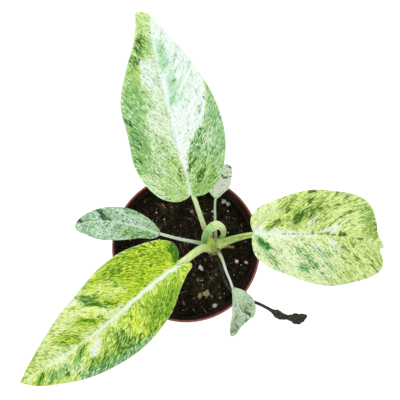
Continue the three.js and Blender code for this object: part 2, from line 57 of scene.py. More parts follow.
# Leaves, in millimetres and degrees. The midrib starts at base and bends through space by heading,
# pitch and roll at shares of its length. left and right give the blade's flat outline, in its own
# x, from base to tip, and y, to the left. Each half rises from the midrib by fold and then bends
# down by camber, and wave is the height, length and phase of the margin's waves. stalk is the
# stalk's path and stalk_radius its radii at foot and top. rows and columns are the mesh's cells.
LEAVES = {
    "leaf_back": {
        "base": (0.6, 36.4, 152), "length": 168, "half_width": 38, "fold": 10, "camber": 24,
        "wave": (1.6, 62, 0.6), "stalk_radius": (2.4, 1.7), "rows": 150, "columns": 42,
        "heading": [(0, 102), (0.33, 106), (0.67, 103), (0.84, 96), (1, 88)],
        "pitch": [(0, 16), (0.25, 8), (0.5, 0), (0.75, -2), (0.85, -34), (0.91, -72), (1, -122)],
        "roll": [(0, 0), (0.8, 0), (1, 4)],
        "left": [(-2, 3), (-3.2, 10), (1.2, 21.6), (12.5, 31), (30, 37), (55, 36.5), (80, 35.2),
            (104, 24.6), (122, 14.6), (136, 10.7), (145, 10.2), (152, 7.6), (160, 3.5)],
        "right": [(-1.5, -4), (-1.4, -11), (6, -22), (19, -30.4), (38, -36.4), (60, -36.6),
            (84, -31.4), (108, -22), (126, -12.2), (137, -6.2), (144, -2.6), (151, -1), (161, -1)],
        "stalk": [(19, 9.4, 105), (14.2, 14.6, 115.5), (8, 25.7, 136), (3.3, 35.2, 148.6)],
    },
    "leaf_right": {
        "base": (49.3, 8.2, 150), "length": 115.5, "half_width": 38, "fold": 6, "camber": 26,
        "wave": (1.4, 55, 2.2), "stalk_radius": (3.6, 2), "rows": 130, "columns": 42,
        "heading": [(0, -6), (0.36, 0.5), (0.73, -11), (1, -14)],
        "pitch": [(0, 12), (0.27, 6), (0.545, -3), (0.74, -14), (0.87, -48), (0.95, -58), (1, -60)],
        "roll": [(0, 0), (0.65, 0), (0.87, -14), (1, -22)],
        "left": [(-2, 3), (-3.5, 10), (1, 19), (12, 25), (28, 31), (45, 34.6), (62, 34.5),
            (77, 33.2), (88.5, 27.6), (96.3, 17.5), (98.7, 10), (102.5, 5.6), (109, 3)],
        "right": [(-1, -3), (-0.5, -9), (3, -18), (12, -25), (26, -31), (44, -38), (62, -39.5),
            (80, -35.4), (93.4, -28.4), (103.6, -19.2), (106.4, -12.3), (104, -7.5), (101.8, -4.6),
            (105.5, -2.6), (111, -1.6)],
        "stalk": [(25.5, 2.7, 105), (31.4, 4.4, 112), (40.8, 6.4, 129), (48, 6.9, 144.5)],
    },
    "leaf_front": {
        "base": (-9.3, -16.6, 146), "length": 151, "half_width": 34, "fold": 16, "camber": 30,
        "wave": (1.2, 70, 4.1), "stalk_radius": (3.5, 2.7), "rows": 140, "columns": 42,
        "heading": [(0, -145), (0.33, -138), (0.67, -146), (1, -147)],
        "pitch": [(0, 10), (0.25, 2), (0.5, -6), (0.75, -14), (1, -22)],
        "roll": [(0, 0), (1, 0)],
        "left": [(-5, 2.6), (-9.5, 4.5), (-9, 7.5), (-3, 10), (7, 15.3), (25, 25.8), (44, 30.8),
            (61, 32.2), (80, 30.1), (101, 25.6), (120, 18.5), (138, 9.9)],
        "right": [(-3, -3), (-6.5, -8), (-6.5, -16), (0, -23), (12, -28.5), (30, -34), (50, -35),
            (70, -32), (90, -28), (110, -20.5), (130, -11), (142, -5)],
        "stalk": [(20, 0, 104), (13, -1, 114.5), (4.6, -6.5, 130), (-4.5, -13.8, 141.5)],
    },
    "small_leaf_left": {
        "base": (-22.6, 9, 124), "length": 69, "half_width": 14, "fold": 12, "camber": 30,
        "wave": (0.5, 40, 1), "stalk_radius": (1.7, 1.1), "rows": 80, "columns": 20,
        "heading": [(0, 158), (0.33, 167), (0.67, 179), (1, 200)],
        "pitch": [(0, 10), (0.3, 2), (0.6, -6), (1, -22)],
        "roll": [(0, 0), (1, 0)],
        "left": [(1, 3), (4, 5.5), (14, 8.5), (27, 13), (40, 15), (52, 14), (62, 9), (68, 4.5)],
        "right": [(1.5, -3), (6, -6), (15, -9.5), (26, -12), (38, -12), (50, -9.5), (60, -6),
            (66.5, -2.5)],
        "stalk": [(17.1, 2.9, 97.5), (9.4, 4.1, 104), (-5.7, 5.9, 114.5), (-18.5, 8.4, 122)],
    },
    "small_leaf_back": {
        "base": (22.3, 38.1, 120), "length": 30.5, "half_width": 9, "fold": 12, "camber": 26,
        "wave": (0.3, 20, 0), "stalk_radius": (1.3, 0.85), "rows": 44, "columns": 16,
        "heading": [(0, 77), (0.33, 70), (0.67, 67), (1, 72)],
        "pitch": [(0, 20), (0.4, 6), (0.7, -4), (1, -20)],
        "roll": [(0, 0), (1, 0)],
        "left": [(1.5, 2.5), (4, 6.5), (10, 9), (18, 9.5), (25, 7)],
        "right": [(2, -2), (7, -5.5), (13, -8), (20, -6.5), (27, -4.5)],
        "stalk": [(24, 7.6, 98.5), (23.2, 20.4, 106), (22.4, 30.6, 113), (22.3, 36.5, 118)],
    },
    "small_leaf_front": {
        "base": (35.7, -33.3, 127), "length": 49.5, "half_width": 14, "fold": 22, "camber": 30,
        "wave": (0.4, 30, 2), "stalk_radius": (1.4, 0.8), "rows": 60, "columns": 18,
        "heading": [(0, -72), (0.33, -80), (0.67, -100), (1, -108)],
        "pitch": [(0, -8), (0.3, -30), (0.6, -44), (1, -50)],
        "roll": [(0, -18), (0.5, -22), (1, -10)],
        "left": [(0.5, 2), (4, 7), (10, 12), (18, 15), (26, 14.2), (30, 8.5), (36, 4.3), (45, 2.5)],
        "right": [(1, -1.6), (7, -3.6), (16, -6), (27, -6.6), (37, -5), (45, -2.8)],
        "stalk": [(25.6, -1.8, 99.5), (28.6, -9.3, 107), (31.3, -20.2, 116), (34.3, -29.8, 123.8)],
    },
}

# The variegation of each blade. levels are the shares of the tissues all over it. An area changes
# one share inside a soft outline: (tissue, share, softness, outline). A dash does so along a side
# vein: (x, y, half length, half width, share). rib_width and rib_strength say how wide and strong
# the pale midrib band is at shares of the length, in millimetres and 0 to 1, and rib_shift how far
# to the left it lies. A crease is a dark line on the midrib: (start, end, strength). grain is the
# size of the flecks, and drag how far they are drawn out along the side veins.
MARKS = {
    "leaf_back": {
        "grain": 1.1, "drag": 0.9,
        "levels": {"green": 0.44, "dark": 0.26, "lime": 0.35, "cool": 0.25},
        "rib_width": [(0, 1.3), (0.2, 0.9), (0.7, 0.6), (1, 0.4)],
        "rib_strength": [(0, 0.8), (0.2, 0.6), (0.7, 0.25), (1, 0.15)],
        "areas": [
            ("lime", 0.7, 6, [(-4, 2), (30, 2), (34, 10), (14, 24), (-4, 14)]),
            ("green", 0.6, 3, [(-2, -2), (14, -3), (22, -2.5), (32, -6), (42, -11), (47, -18),
                (56, -24), (64, -28), (80, -30), (84, -34), (60, -40), (40, -40), (20, -33),
                (4, -23), (-3, -10)]),
            ("cool", 0.6, 6, [(30, -10), (44, -14), (56, -26), (70, -32), (50, -38), (30, -34),
                (24, -22)]),
            ("lime", 0.75, 5, [(0, -3), (26, -5), (24, -18), (10, -24), (0, -14)]),
            ("dark", 0.34, 5, [(0, -3), (26, -5), (40, -14), (50, -26), (30, -32), (10, -24),
                (0, -14)]),
            ("dark", 0.33, 6, [(22, 20), (44, 24), (60, 26), (76, 22), (98, 22), (90, 34),
                (30, 40)]),
            ("green", 0.3, 3, [(32, -21), (38, -19), (46, -24), (44, -28), (34, -26)]),
            ("green", 0.72, 5, [(22, 26), (30, 24), (44, 22), (60, 24), (76, 16), (84, 17),
                (92, 18), (98, 24), (86, 32), (60, 40), (40, 40), (24, 34)]),
            ("cool", 0.45, 6, [(40, 20), (60, 22), (76, 20), (76, 34), (50, 38)]),
            ("lime", 0.85, 5, [(88, 16), (104, 12), (112, 4), (168, -1), (168, 8), (146, 14),
                (120, 20), (96, 26)]),
            ("green", 0.55, 4, [(95, 14), (112, 7), (130, 3), (132, 12), (112, 20), (100, 24)]),
            ("green", 0.3, 4, [(126, 0), (150, -1), (168, 4), (150, 12), (128, 12)]),
            ("dark", 0.24, 4, [(100, 6), (126, 2), (142, 2), (142, 9), (110, 20), (98, 18)]),
            ("dark", 0.55, 2, [(11, 3.2), (25, 4.2), (25, 7.5), (14, 6.5)]),
            ("dark", 0.62, 6, [(104, 13), (114, 9), (122, 6), (130, 5), (128, 10), (116, 16),
                (108, 21), (103, 20)]),
            ("white", 0.5, 4, [(40, 3), (56, 5), (72, 3), (96, 3), (110, 4), (108, 13), (96, 15),
                (85, 12), (72, 11), (68, 19), (58, 19), (50, 12), (42, 8)]),
            ("white", 0.75, 5, [(84, 3), (108, 4), (108, 13), (92, 15), (84, 10)]),
            ("haze", 0.3, 5, [(60, 3), (108, 3), (108, 13), (60, 19)]),
            ("white", 0.5, 7, [(30, 4), (60, 6), (100, 4), (128, 1), (120, -4), (60, -4),
                (30, -2)]),
            ("white", 0.97, 3.5, [(16, 0.6), (30, 2), (44, 2.4), (62, 1), (90, 0.5), (110, -0.4),
                (124, -1), (133, -2), (150, -1), (160, -3), (142, -8), (120, -20), (100, -30),
                (86, -34), (78, -30), (66, -28.5), (56, -24.5), (47, -17.5), (41, -10), (31, -4.5),
                (20, -1.5)]),
            ("dark", 0.12, 4, [(40, 2), (110, 0), (160, -3), (142, -8), (86, -34), (56, -22),
                (40, -8)]),
            ("haze", 0.4, 8, [(62, -3), (130, -1), (138, -6), (110, -22), (90, -26), (66, -22)]),
            ("haze", 0.85, 5, [(66, -2), (80, -1.5), (92, -4), (94, -10), (84, -9), (72, -8)]),
            ("haze", 0.85, 5, [(96, -1), (112, -1), (124, -2), (122, -8), (108, -9), (98, -6)]),
        ],
        "dashes": {
            "green": [(88, -8, 4, 2, 0.62), (74, -5, 6, 2, 0.4), (100, -5, 6, 1.6, 0.42),
                (112, -5, 8, 2.6, 0.4), (62, -21.5, 4, 1.8, 0.55), (103, -14, 5, 1.4, 0.34)],
            "dark": [(14, -11, 7, 2.6, 0.74), (22, -4.5, 7, 1.8, 0.7), (30, -8, 8, 1.8, 0.6),
                (8, -16, 5, 1.8, 0.5), (40, -14, 8, 2.2, 0.45), (46, -19, 4, 1.4, 0.6),
                (70, -29.5, 7, 1.4, 0.5), (46, -30, 6, 2, 0.4), (66, 33, 7, 1.8, 0.7),
                (50, 29, 6, 2, 0.6), (36, 33, 6, 1.6, 0.6), (46, 34, 5, 1.2, 0.6),
                (54, 26, 5, 1.6, 0.45), (74, 27, 5, 1.6, 0.4), (88, -8, 1.8, 1, 0.5)],
            "white": [(21, 16, 6, 1.2, 0.85), (9, 12, 8, 0.8, 0.6), (4, 17, 6, 0.8, 0.5),
                (34, 12, 10, 0.8, 0.55), (28, 20, 8, 0.8, 0.5), (46, 16, 9, 0.8, 0.5),
                (54, 15, 7, 1.2, 0.6), (12, 22, 8, 0.8, 0.5), (38, 20, 8, 0.7, 0.45)],
        },
    },
    "leaf_right": {
        "grain": 1.3, "drag": 1.0, "levels": {"green": 0.38, "dark": 0.2, "lime": 0.5, "cool": 0.1},
        "rib_width": [(0, 2), (0.2, 1.6), (0.35, 0.8), (1, 0.4)],
        "rib_strength": [(0, 0.8), (0.2, 0.45), (0.35, 0.15), (0.6, 0.05), (1, 0.1)],
        "crease": [(18, 70, 0.55)],
        "areas": [
            ("lime", 0.75, 6, [(-4, 3), (50, 4), (80, 2), (104, 2), (104, 18), (80, 40), (30, 40),
                (-4, 20)]),
            ("lime", 0.12, 6, [(0, -2), (40, -2), (60, -10), (60, -42), (20, -34), (0, -20)]),
            ("white", 0.3, 8, [(0, -4), (50, -3), (70, -10), (76, -24), (56, -42), (20, -34),
                (0, -20)]),
            ("dark", 0.7, 2, [(65, -1.2), (70, -1), (71, 2), (67, 3.4), (65, 1.5)]),
            ("lime", 0.6, 8, [(70, -2), (116, -2), (110, -22), (80, -36), (66, -30)]),
            ("cool", 0.6, 6, [(0, -4), (40, -6), (60, -14), (70, -40), (20, -34), (0, -20)]),
            ("cool", 0.35, 5, [(78, 16), (90, 12), (98, 20), (84, 30), (76, 26)]),
            ("white", 0.4, 5, [(-4, 4), (8, 6), (20, 20), (14, 28), (-2, 20)]),
            ("green", 0.5, 4, [(30, 8), (50, 10), (56, 22), (44, 30), (24, 24)]),
            ("green", 0.3, 6, [(0, -4), (24, -4), (30, -22), (14, -24), (2, -14)]),
            ("green", 0.44, 6, [(34, -10), (76, -6), (80, -30), (60, -38), (40, -32)]),
            ("green", 0.4, 5, [(74, -2), (104, -4), (106, -18), (90, -30), (76, -26)]),
            ("white", 0.2, 5, [(58, 4), (82, 4), (84, 16), (70, 22), (58, 14)]),
            ("green", 0.3, 5, [(56, 4), (82, 4), (84, 16), (70, 24), (58, 16)]),
            ("dark", 0.24, 6, [(74, -2), (104, -4), (106, -18), (90, -30), (76, -26)]),
            ("dark", 0.25, 6, [(4, 6), (50, 6), (84, 6), (84, 28), (60, 36), (30, 34), (8, 22)]),
            ("green", 0.62, 4, [(84, 4), (98, 3), (99, 12), (95, 22), (86, 26), (80, 20)]),
            ("dark", 0.45, 3, [(91, 6), (98.5, 8), (98, 16), (91, 18)]),
            ("dark", 0.85, 1.2, [(40.5, 32.5), (48, 33.3), (48, 35.3), (40.5, 34.6)]),
            ("dark", 0.7, 1.5, [(78, -1.2), (84.5, -1.2), (84.5, 1.5), (78, 1.6)]),
            ("white", 0.8, 6, [(-1, 4), (4, 5), (10, 4), (24, 3), (32, 1), (32, -2), (20, -4),
                (8, -4), (-1, -3)]),
            ("white", 0.6, 4, [(24, 3), (40, 2.4), (50, 1.6), (50, -1.6), (40, -3), (24, -4)]),
            ("white", 0.8, 4, [(50, 1), (54, 5), (62, 7), (66, 4), (60, 1)]),
        ],
        "dashes": {
            "green": [(16, 8, 8, 3, 0.7), (35, 13.5, 9, 3.6, 0.75), (45, 16, 8, 3, 0.72),
                (48, 21, 8, 3, 0.7), (27, 24, 7, 2.6, 0.62), (82, 23, 6, 3, 0.66),
                (15, -20, 7, 3, 0.55), (40, -18, 11, 3, 0.6), (37.5, -25.5, 5, 3, 0.62),
                (53.5, -15.5, 6, 2.4, 0.62), (8.5, -8.5, 8, 3.6, 0.6)],
            "dark": [(35, 13.5, 6.5, 2.7, 0.9), (16.5, 8, 5, 2, 0.75), (26.5, 18.5, 4.2, 1.5, 0.75),
                (45, 15.5, 5.5, 2, 0.6), (48, 20.5, 6, 2, 0.6), (27, 24, 5, 1.8, 0.5),
                (43.5, 25, 3.6, 1.6, 0.75), (63, 32.5, 3, 1.4, 0.75), (59.5, 28.5, 3, 1.4, 0.6),
                (62.5, 22.8, 3, 1.6, 0.78), (69, 30, 3, 1.2, 0.55), (66, 14, 11, 1.1, 0.62),
                (75, 20.5, 4, 1.1, 0.5), (8.5, -8.5, 5.5, 2.4, 0.9), (13, -8.5, 4.5, 1, 0.6),
                (15, -20.5, 5, 2, 0.5), (3.5, -15.5, 3, 1.6, 0.5), (37.5, -25.5, 3.4, 2.2, 0.5),
                (37, -15, 6, 1.4, 0.55), (45, -23, 6, 1.5, 0.5), (53.5, -15.5, 5, 1.6, 0.38),
                (70, -9.5, 3, 1.4, 0.55), (70, -17, 5, 1, 0.55), (88, -25, 4, 1.2, 0.55),
                (93, -17, 4, 1, 0.5), (60, -30, 4, 1, 0.35), (78, -12, 6, 1, 0.5),
                (86, -8, 5, 1, 0.5), (12, 18, 3, 1, 0.4), (56, 12, 4, 0.9, 0.5)],
            "white": [(45.5, 10, 6, 1.5, 0.85), (61, -7, 8, 2, 0.85), (48, -11, 6, 1.8, 0.75),
                (22, -9, 8, 1.6, 0.45), (32, -22, 4, 2, 0.5), (85, -27, 4, 2, 0.4),
                (66, 9, 6, 1, 0.6), (60, 4, 3, 2, 0.8)],
            "cool": [(8.5, -8.5, 8, 4, 0.95), (37.5, -25.5, 6, 4, 0.95), (53.5, -15.5, 7, 3, 0.95),
                (46.5, 14.5, 3, 1.5, 0.6)],
        },
    },
    "leaf_front": {
        "grain": 1.25, "drag": 0.55,
        "levels": {"green": 0.48, "dark": 0.26, "lime": 0.55, "cool": 0.1},
        "rib_width": [(0, 1.5), (0.15, 1.7), (0.4, 1.6), (0.6, 1.2), (1, 0.6)],
        "rib_strength": [(0, 0.75), (0.36, 0.7), (0.5, 0.5), (0.8, 0.25), (1, 0.3)],
        "rib_shift": 0.9,
        "areas": [
            ("lime", 1.0, 5, [(-6, -1), (44, -1), (56, -8), (62, -30), (40, -38), (0, -28),
                (-9, -14)]),
            ("green", 0.56, 5, [(-7, -2), (30, -2), (48, -8), (60, -24), (50, -36), (20, -34),
                (0, -26), (-9, -12)]),
            ("dark", 0.44, 6, [(0, -8), (30, -12), (46, -14), (58, -32), (30, -36), (4, -28)]),
            ("dark", 0.9, 2.5, [(-9, -3), (-1, -1.5), (1.5, -5), (0, -12), (-3, -18), (-9, -18)]),
            ("lime", 0.6, 5, [(38, -10), (52, -8), (62, -20), (58, -30), (46, -24)]),
            ("green", 0.34, 4, [(42, -12), (52, -10), (60, -22), (54, -27), (46, -20)]),
            ("green", 0.22, 3, [(55, -1.5), (64, -2), (72, -8), (80, -14), (84, -24), (76, -24),
                (68, -14)]),
            ("white", 0.5, 4, [(57, -2), (62, -3), (70, -13), (66, -13)]),
            ("lime", 0.3, 5, [(66, -18), (78, -14), (100, -14), (134, -6), (120, -20), (90, -32),
                (70, -34)]),
            ("green", 0.32, 4, [(74, -20), (100, -14), (130, -6), (118, -18), (90, -30),
                (72, -32)]),
            ("white", 0.6, 4, [(72, -25), (84, -26), (90, -30), (74, -32)]),
            ("lime", 0.3, 6, [(106, -8), (151, -1), (151, 2), (120, 14), (104, 8)]),
            ("green", 0.32, 6, [(110, -10), (151, -1), (151, 3), (126, 5), (108, 8)]),
            ("cool", 0.5, 8, [(100, -14), (151, -2), (151, 2), (112, 18), (96, 16)]),
            ("lime", 0.8, 5, [(-9, 3), (20, 4), (60, 6), (60, 34), (30, 32), (-9, 10)]),
            ("green", 0.72, 5, [(6, 8), (24, 8), (40, 9), (46, 14), (50, 28), (30, 28), (8, 16)]),
            ("dark", 0.5, 4, [(12, 14), (26, 11), (38, 14), (50, 24), (56, 30), (30, 29),
                (12, 20)]),
            ("green", 0.36, 4, [(44, 6), (50, 9), (58, 20), (57, 28), (51, 28), (46, 16)]),
            ("dark", 0.66, 4, [(54, 22), (62, 18), (62, 9), (70, 12), (76, 22), (74, 28),
                (56, 29)]),
            ("green", 0.66, 4, [(72, 16), (94, 14), (108, 18), (96, 26), (72, 30)]),
            ("dark", 0.5, 3, [(74, 18), (90, 17), (98, 18), (94, 26), (74, 28)]),
            ("cool", 0.95, 4, [(46, 28), (72, 25), (96, 21), (108, 18), (104, 27), (76, 34),
                (50, 34)]),
            ("green", 0.68, 3, [(52, 30), (72, 27.5), (96, 22), (108, 18), (104, 27), (76, 34),
                (50, 34)]),
            ("dark", 0.5, 3, [(60, 30), (72, 27.5), (96, 22), (108, 18), (104, 27), (76, 34)]),
            ("lime", 0.1, 3, [(50, 29), (72, 26.5), (96, 21), (108, 17), (104, 27), (76, 34),
                (50, 34)]),
            ("white", 0.8, 4, [(78, 4), (88, 6), (93, 12), (91, 15), (84, 13), (79, 8)]),
            ("white", 0.45, 5, [(96, 10), (110, 10), (112, 18), (100, 20)]),
            ("white", 0.7, 2.5, [(-8, 0), (0, -1.2), (40, -1), (60, -1), (60, 1.8), (40, 2.2),
                (10, 2.5), (-6, 2.6)]),
            ("white", 0.45, 5, [(50, -4), (70, -5), (120, -2), (140, 0), (120, 4), (70, 5),
                (50, 4)]),
        ],
        "dashes": {
            "green": [(79, -10, 8, 2.2, 0.7), (98, -6, 10, 3, 0.62), (98, 7, 9, 2.6, 0.7),
                (134, 7, 8, 3, 0.85), (125, 10, 6, 2.6, 0.66), (69, -5, 7, 1.6, 0.66),
                (57, -9, 9, 2, 0.66), (112, 9.5, 5, 2, 0.5), (69, -22, 9, 4, 0.7)],
            "dark": [(66, -16, 8, 2.2, 0.7), (69, -23.5, 8, 3.6, 0.72), (57, -10, 8, 1.4, 0.62),
                (79, -10, 5, 1.4, 0.7), (94, -6.5, 5, 1.6, 0.6), (102, -5.5, 4, 1.4, 0.5),
                (69, -5, 5, 1.2, 0.55), (94, 18, 5, 1.6, 0.75), (96, 7, 6, 1.8, 0.7),
                (85, 20, 7, 1.4, 0.6), (134, 7, 6, 2.2, 0.7), (125, 10, 5, 1.6, 0.55),
                (114, 14.5, 2.2, 1.5, 0.85), (112, 9.5, 4, 1.2, 0.5), (40, 6.5, 3, 1.4, 0.55),
                (28, 9, 3, 1.2, 0.5), (55, 12, 5, 1.8, 0.5), (103, 16, 5, 1.4, 0.5),
                (118, -7.5, 3, 1, 0.5), (30, -16, 8, 1.6, 0.45), (14, -14, 8, 1.6, 0.45),
                (40, -27, 8, 2, 0.55), (20, -24, 8, 2, 0.5), (19.5, 1, 1, 0.5, 0.9)],
            "white": [(24, 5, 10, 0.9, 0.4), (48, 18, 12, 1, 0.4)],
            "lime": [(134, 7, 10, 5, 0.9), (98, -6, 12, 4, 0.9), (79, -9, 10, 3, 0.9)],
            "cool": [(112, 10, 6, 3, 0.8), (114, 14.5, 3, 2, 0.8)],
        },
    },
    "small_leaf_left": {
        "grain": 0.9, "drag": 0.7,
        "levels": {"green": 0.6, "dark": 0.44, "lime": 0.05, "cool": 0.66, "white": 0.34},
        "rib_width": [(0, 1.1), (1, 0.4)], "rib_strength": [(0, 0.8), (1, 0.4)],
        "areas": [
            ("lime", 0.8, 3, [(6, 3), (32, 3), (32, 11), (10, 9)]),
            ("cool", 0.1, 3, [(6, 3), (32, 3), (32, 11), (10, 9)]),
            ("green", 0.62, 2, [(8, 4), (20, 4), (32, 6), (30, 10), (14, 8)]),
            ("green", 0.6, 3, [(57, -8), (57, 12), (70, 6), (70, -3)]),
            ("dark", 0.45, 3, [(57, -8), (57, 12), (70, 6), (70, -3)]),
            ("green", 0.46, 3, [(36, 4), (56, 6), (56, 14), (40, 16), (28, 12)]),
        ],
        "dashes": {
            "dark": [(49, -8, 5, 2.2, 0.9), (45, -2.5, 4.5, 2, 0.9), (63, -3, 3, 1.6, 0.8),
                (40, -1, 2, 1, 0.8), (58, -4, 3, 1.5, 0.7), (62, 3, 3, 1.5, 0.55),
                (16, 5.5, 5, 1.2, 0.5), (26, 7, 5, 1.2, 0.5), (36, 9, 4, 1.2, 0.5),
                (34, -6, 4, 1, 0.5)],
            "white": [(28, -5, 8, 3, 0.97), (50, -3.5, 4, 2.4, 0.95), (40, 5, 7, 1.4, 0.9),
                (18, -4, 6, 2, 0.85), (48, 9, 6, 1.6, 0.8), (36, -9, 6, 1.4, 0.8)],
        },
    },
    "small_leaf_back": {
        "grain": 0.9, "drag": 0.7,
        "levels": {"green": 0.26, "dark": 0.38, "lime": 0.15, "cool": 0.2, "white": 0.62},
        "rib_width": [(0, 0.8), (1, 0.3)], "rib_strength": [(0, 0.6), (1, 0.2)],
        "areas": [
            ("green", 0.4, 2, [(14, -9), (31, -6), (31, 3), (20, -1)]),
        ],
        "dashes": {
            "dark": [(19, 0.5, 2, 0.9, 0.8), (19, -2.2, 1.8, 0.9, 0.75), (27, -2, 2, 1, 0.75),
                (12, 6, 2, 0.9, 0.6), (22, -6.5, 2.5, 0.8, 0.6), (24, 4, 2, 0.8, 0.5)],
        },
    },
    "small_leaf_front": {
        "grain": 0.9, "drag": 0.7,
        "levels": {"green": 0.4, "dark": 0.26, "lime": 0.3, "cool": 0.25, "white": 0.4},
        "rib_width": [(0, 0.9), (1, 0.3)], "rib_strength": [(0, 0.7), (1, 0.3)],
        "areas": [
            ("lime", 0.7, 4, [(12, 1), (50, 2), (50, -6), (28, -8), (18, 14)]),
            ("green", 0.56, 3, [(12, 2), (30, 1), (34, -5), (20, -5)]),
            ("green", 0.62, 3, [(15, 4), (25, 3), (26, 12), (17, 12)]),
            ("green", 0.66, 4, [(29, 9), (50, 4), (50, -5), (30, -7)]),
            ("dark", 0.36, 4, [(29, 9), (50, 4), (50, -5), (30, -7)]),
        ],
        "dashes": {
            "dark": [(24, 9.5, 2.5, 1.2, 0.8), (20, 7, 4, 1.4, 0.6), (25, -2, 3, 1.2, 0.6),
                (14, -4, 3, 1, 0.5), (19, 3.5, 6, 0.9, 0.6), (28, 5, 5, 0.9, 0.55),
                (17, 9, 4, 0.9, 0.55), (36, 1, 5, 1, 0.6), (42, -1, 4, 1.2, 0.6)],
            "white": [(22, -7, 9, 1.3, 0.9), (24, 5.6, 6, 0.9, 0.8)],
        },
    },
}
# The shares that a blade's mesh carries: its tissues, the cloud in the white one, and two bands
ZONES = ("white", "green", "dark", "lime", "cool", "haze", "rib", "edge")

# Paths, half widths and half depths of the round parts, in millimetres, at shares of their length
STEM_PATH = [(23.2, 0.6, 62), (23.0, 0.8, 88), (22.6, 1.5, 100), (21.8, 2.8, 110)]
STEM_RADIUS = 6.6
SCAR_LEVELS = (0.6, 0.74, 0.87)  # Where old leaves left their rings
STEM_X, STEM_Y = 23.0, 0.8  # Where it leaves the soil

NEW_LEAF_PATH = [
    (17.2, 0.3, 107.5), (14.7, 4, 113), (14.6, 7.5, 117.5), (16.3, 11.4, 122),
    (19.5, 14.7, 125.5), (23, 15.9, 127.3), (26.6, 14.2, 126), (28.4, 11.1, 122.5),
    (27.8, 8.2, 118.5), (25.9, 6.7, 115.5),
]
NEW_LEAF_WIDTH = [
    (0, 2.4), (0.15, 2.8), (0.3, 3.1), (0.45, 3.3), (0.58, 3.6), (0.7, 2.8), (0.82, 2.2),
    (0.92, 1.7), (1, 1.3),
]
NEW_LEAF_DEPTH = [(0, 2), (0.4, 1.9), (0.7, 1.7), (1, 1.1)]
SHEATH_PATH = [(21.8, -2.2, 102), (20.2, 0.4, 109), (18.8, 4.2, 113.5), (17.3, 7.4, 115.6)]
SHEATH_WIDTH = [(0, 4.4), (0.35, 4), (0.75, 3.3), (1, 2)]
SHEATH_DEPTH = [(share, width * 0.8) for share, width in SHEATH_WIDTH]

DEAD_LEAF_PATH = [
    (24.2, -4.4, 95.6), (28.3, -16.2, 101), (32.2, -29.3, 105.6), (40.5, -38.8, 108),
    (55.6, -44.1, 106), (66.2, -48.7, 102), (73.5, -53, 99), (81.6, -55.6, 97), (90, -57, 95.6),
    (97.6, -55, 94.6), (99.3, -54.1, 94.5),
]
DEAD_LEAF_WIDTH = [
    (0, 1.3), (0.66, 1.3), (0.705, 1.8), (0.745, 3.2), (0.79, 2.8), (0.83, 1.9), (0.865, 2.6),
    (0.905, 4.2), (0.945, 3.5), (0.98, 2), (1, 0.7),
]
DEAD_LEAF_FLATNESS = [(0, 1), (0.66, 1), (0.74, 0.6), (1, 0.5)]

ROOT_STUB_PATH = [(26.6, 0.8, 96.6), (33.5, 1.6, 97.2), (39.7, 0.8, 96.4)]

# The larger perlite, grit and bark on the soil: x, y, the half sizes, and what it is
GRAINS = [
    (32.4, 39.9, 2.5, 2.1, 2.0, "perlite"), (35.6, 38.1, 1.8, 1.9, 1.7, "perlite"),
    (12.7, -15.7, 1.7, 2.6, 1.8, "perlite"), (12.0, -38.5, 2.2, 2.1, 1.6, "bark"),
    (17.2, -36.9, 3.0, 3.1, 2.2, "bark"), (24.3, -46.4, 2.3, 1.8, 1.7, "perlite"),
    (42.3, -10.2, 1.9, 1.5, 1.4, "grit"), (50.4, -10.9, 1.3, 1.5, 1.2, "grit"),
    (5.3, 31.5, 1.7, 1.7, 1.3, "bark"), (22.7, 31.6, 1.2, 1.2, 1.0, "perlite"),
]
# The longer dead roots: x, y and the height over the soil
LONG_FIBRES = [
    [(-25.3, 22, 0), (-21.2, 26.9, 1.2), (-17.1, 31.2, 0)],
    [(17.5, -19.8, 0), (23.2, -17.8, 1.0), (29, -15.7, 0)],
    [(-4.7, 5.6, 0), (-3.5, 0.6, 1.0), (-0.5, -5.1, 0)],
]
# How far from the pot's axis each kind of loose bit may lie
SPREAD = {"crumbs": 53.5, "perlite": 52, "bark": 50, "fibres": 48}
# The pot's inner wall below its rim band, as height and radius near the foot and near the top
WALL_LINE = ((4.1, 40.7), (91.0, 55.4))
LOW_SIDE = math.radians(52)  # The side where the soil is lowest, seen from the pot's axis

# The stage, in metres, and the photograph's view, with its lens and sensor in millimetres
FLOOR_SIZE = 60
LIGHT_PLACE = (-0.55, 0.5, 1.4)
LIGHT_AIM = Vector((0, 0, 0.1))
CAMERA_PLACE = (-0.0377, -0.0592, 0.8528)
CAMERA_AHEAD = Vector((0.065, 0.131, -1))
LENS, SENSOR_WIDTH = 83.6, 36


def linear(code):
    """An sRGB hex colour as linear red, green, blue and alpha."""
    parts = [int(code[i : i + 2], 16) / 255 for i in (1, 3, 5)]
    return (*[c / 12.92 if c <= 0.04045 else ((c + 0.055) / 1.055) ** 2.4 for c in parts], 1.0)


def colour(name, description, code):
    """A colour setting from an sRGB hex value."""
    look = {"default": linear(code), "subtype": "COLOR", "size": 4, "min": 0, "max": 1}
    return FloatVectorProperty(name=name, description=description, **look)


def length(name, description, millimetres):
    """A length setting from its size in millimetres."""
    size = {"default": millimetres * MM, "unit": "LENGTH", "min": 0}
    return FloatProperty(name=name, description=description, **size)


def count(name, description, default, least=0):
    """A setting for how many of something there are."""
    return IntProperty(name=name, description=description, default=default, min=least)


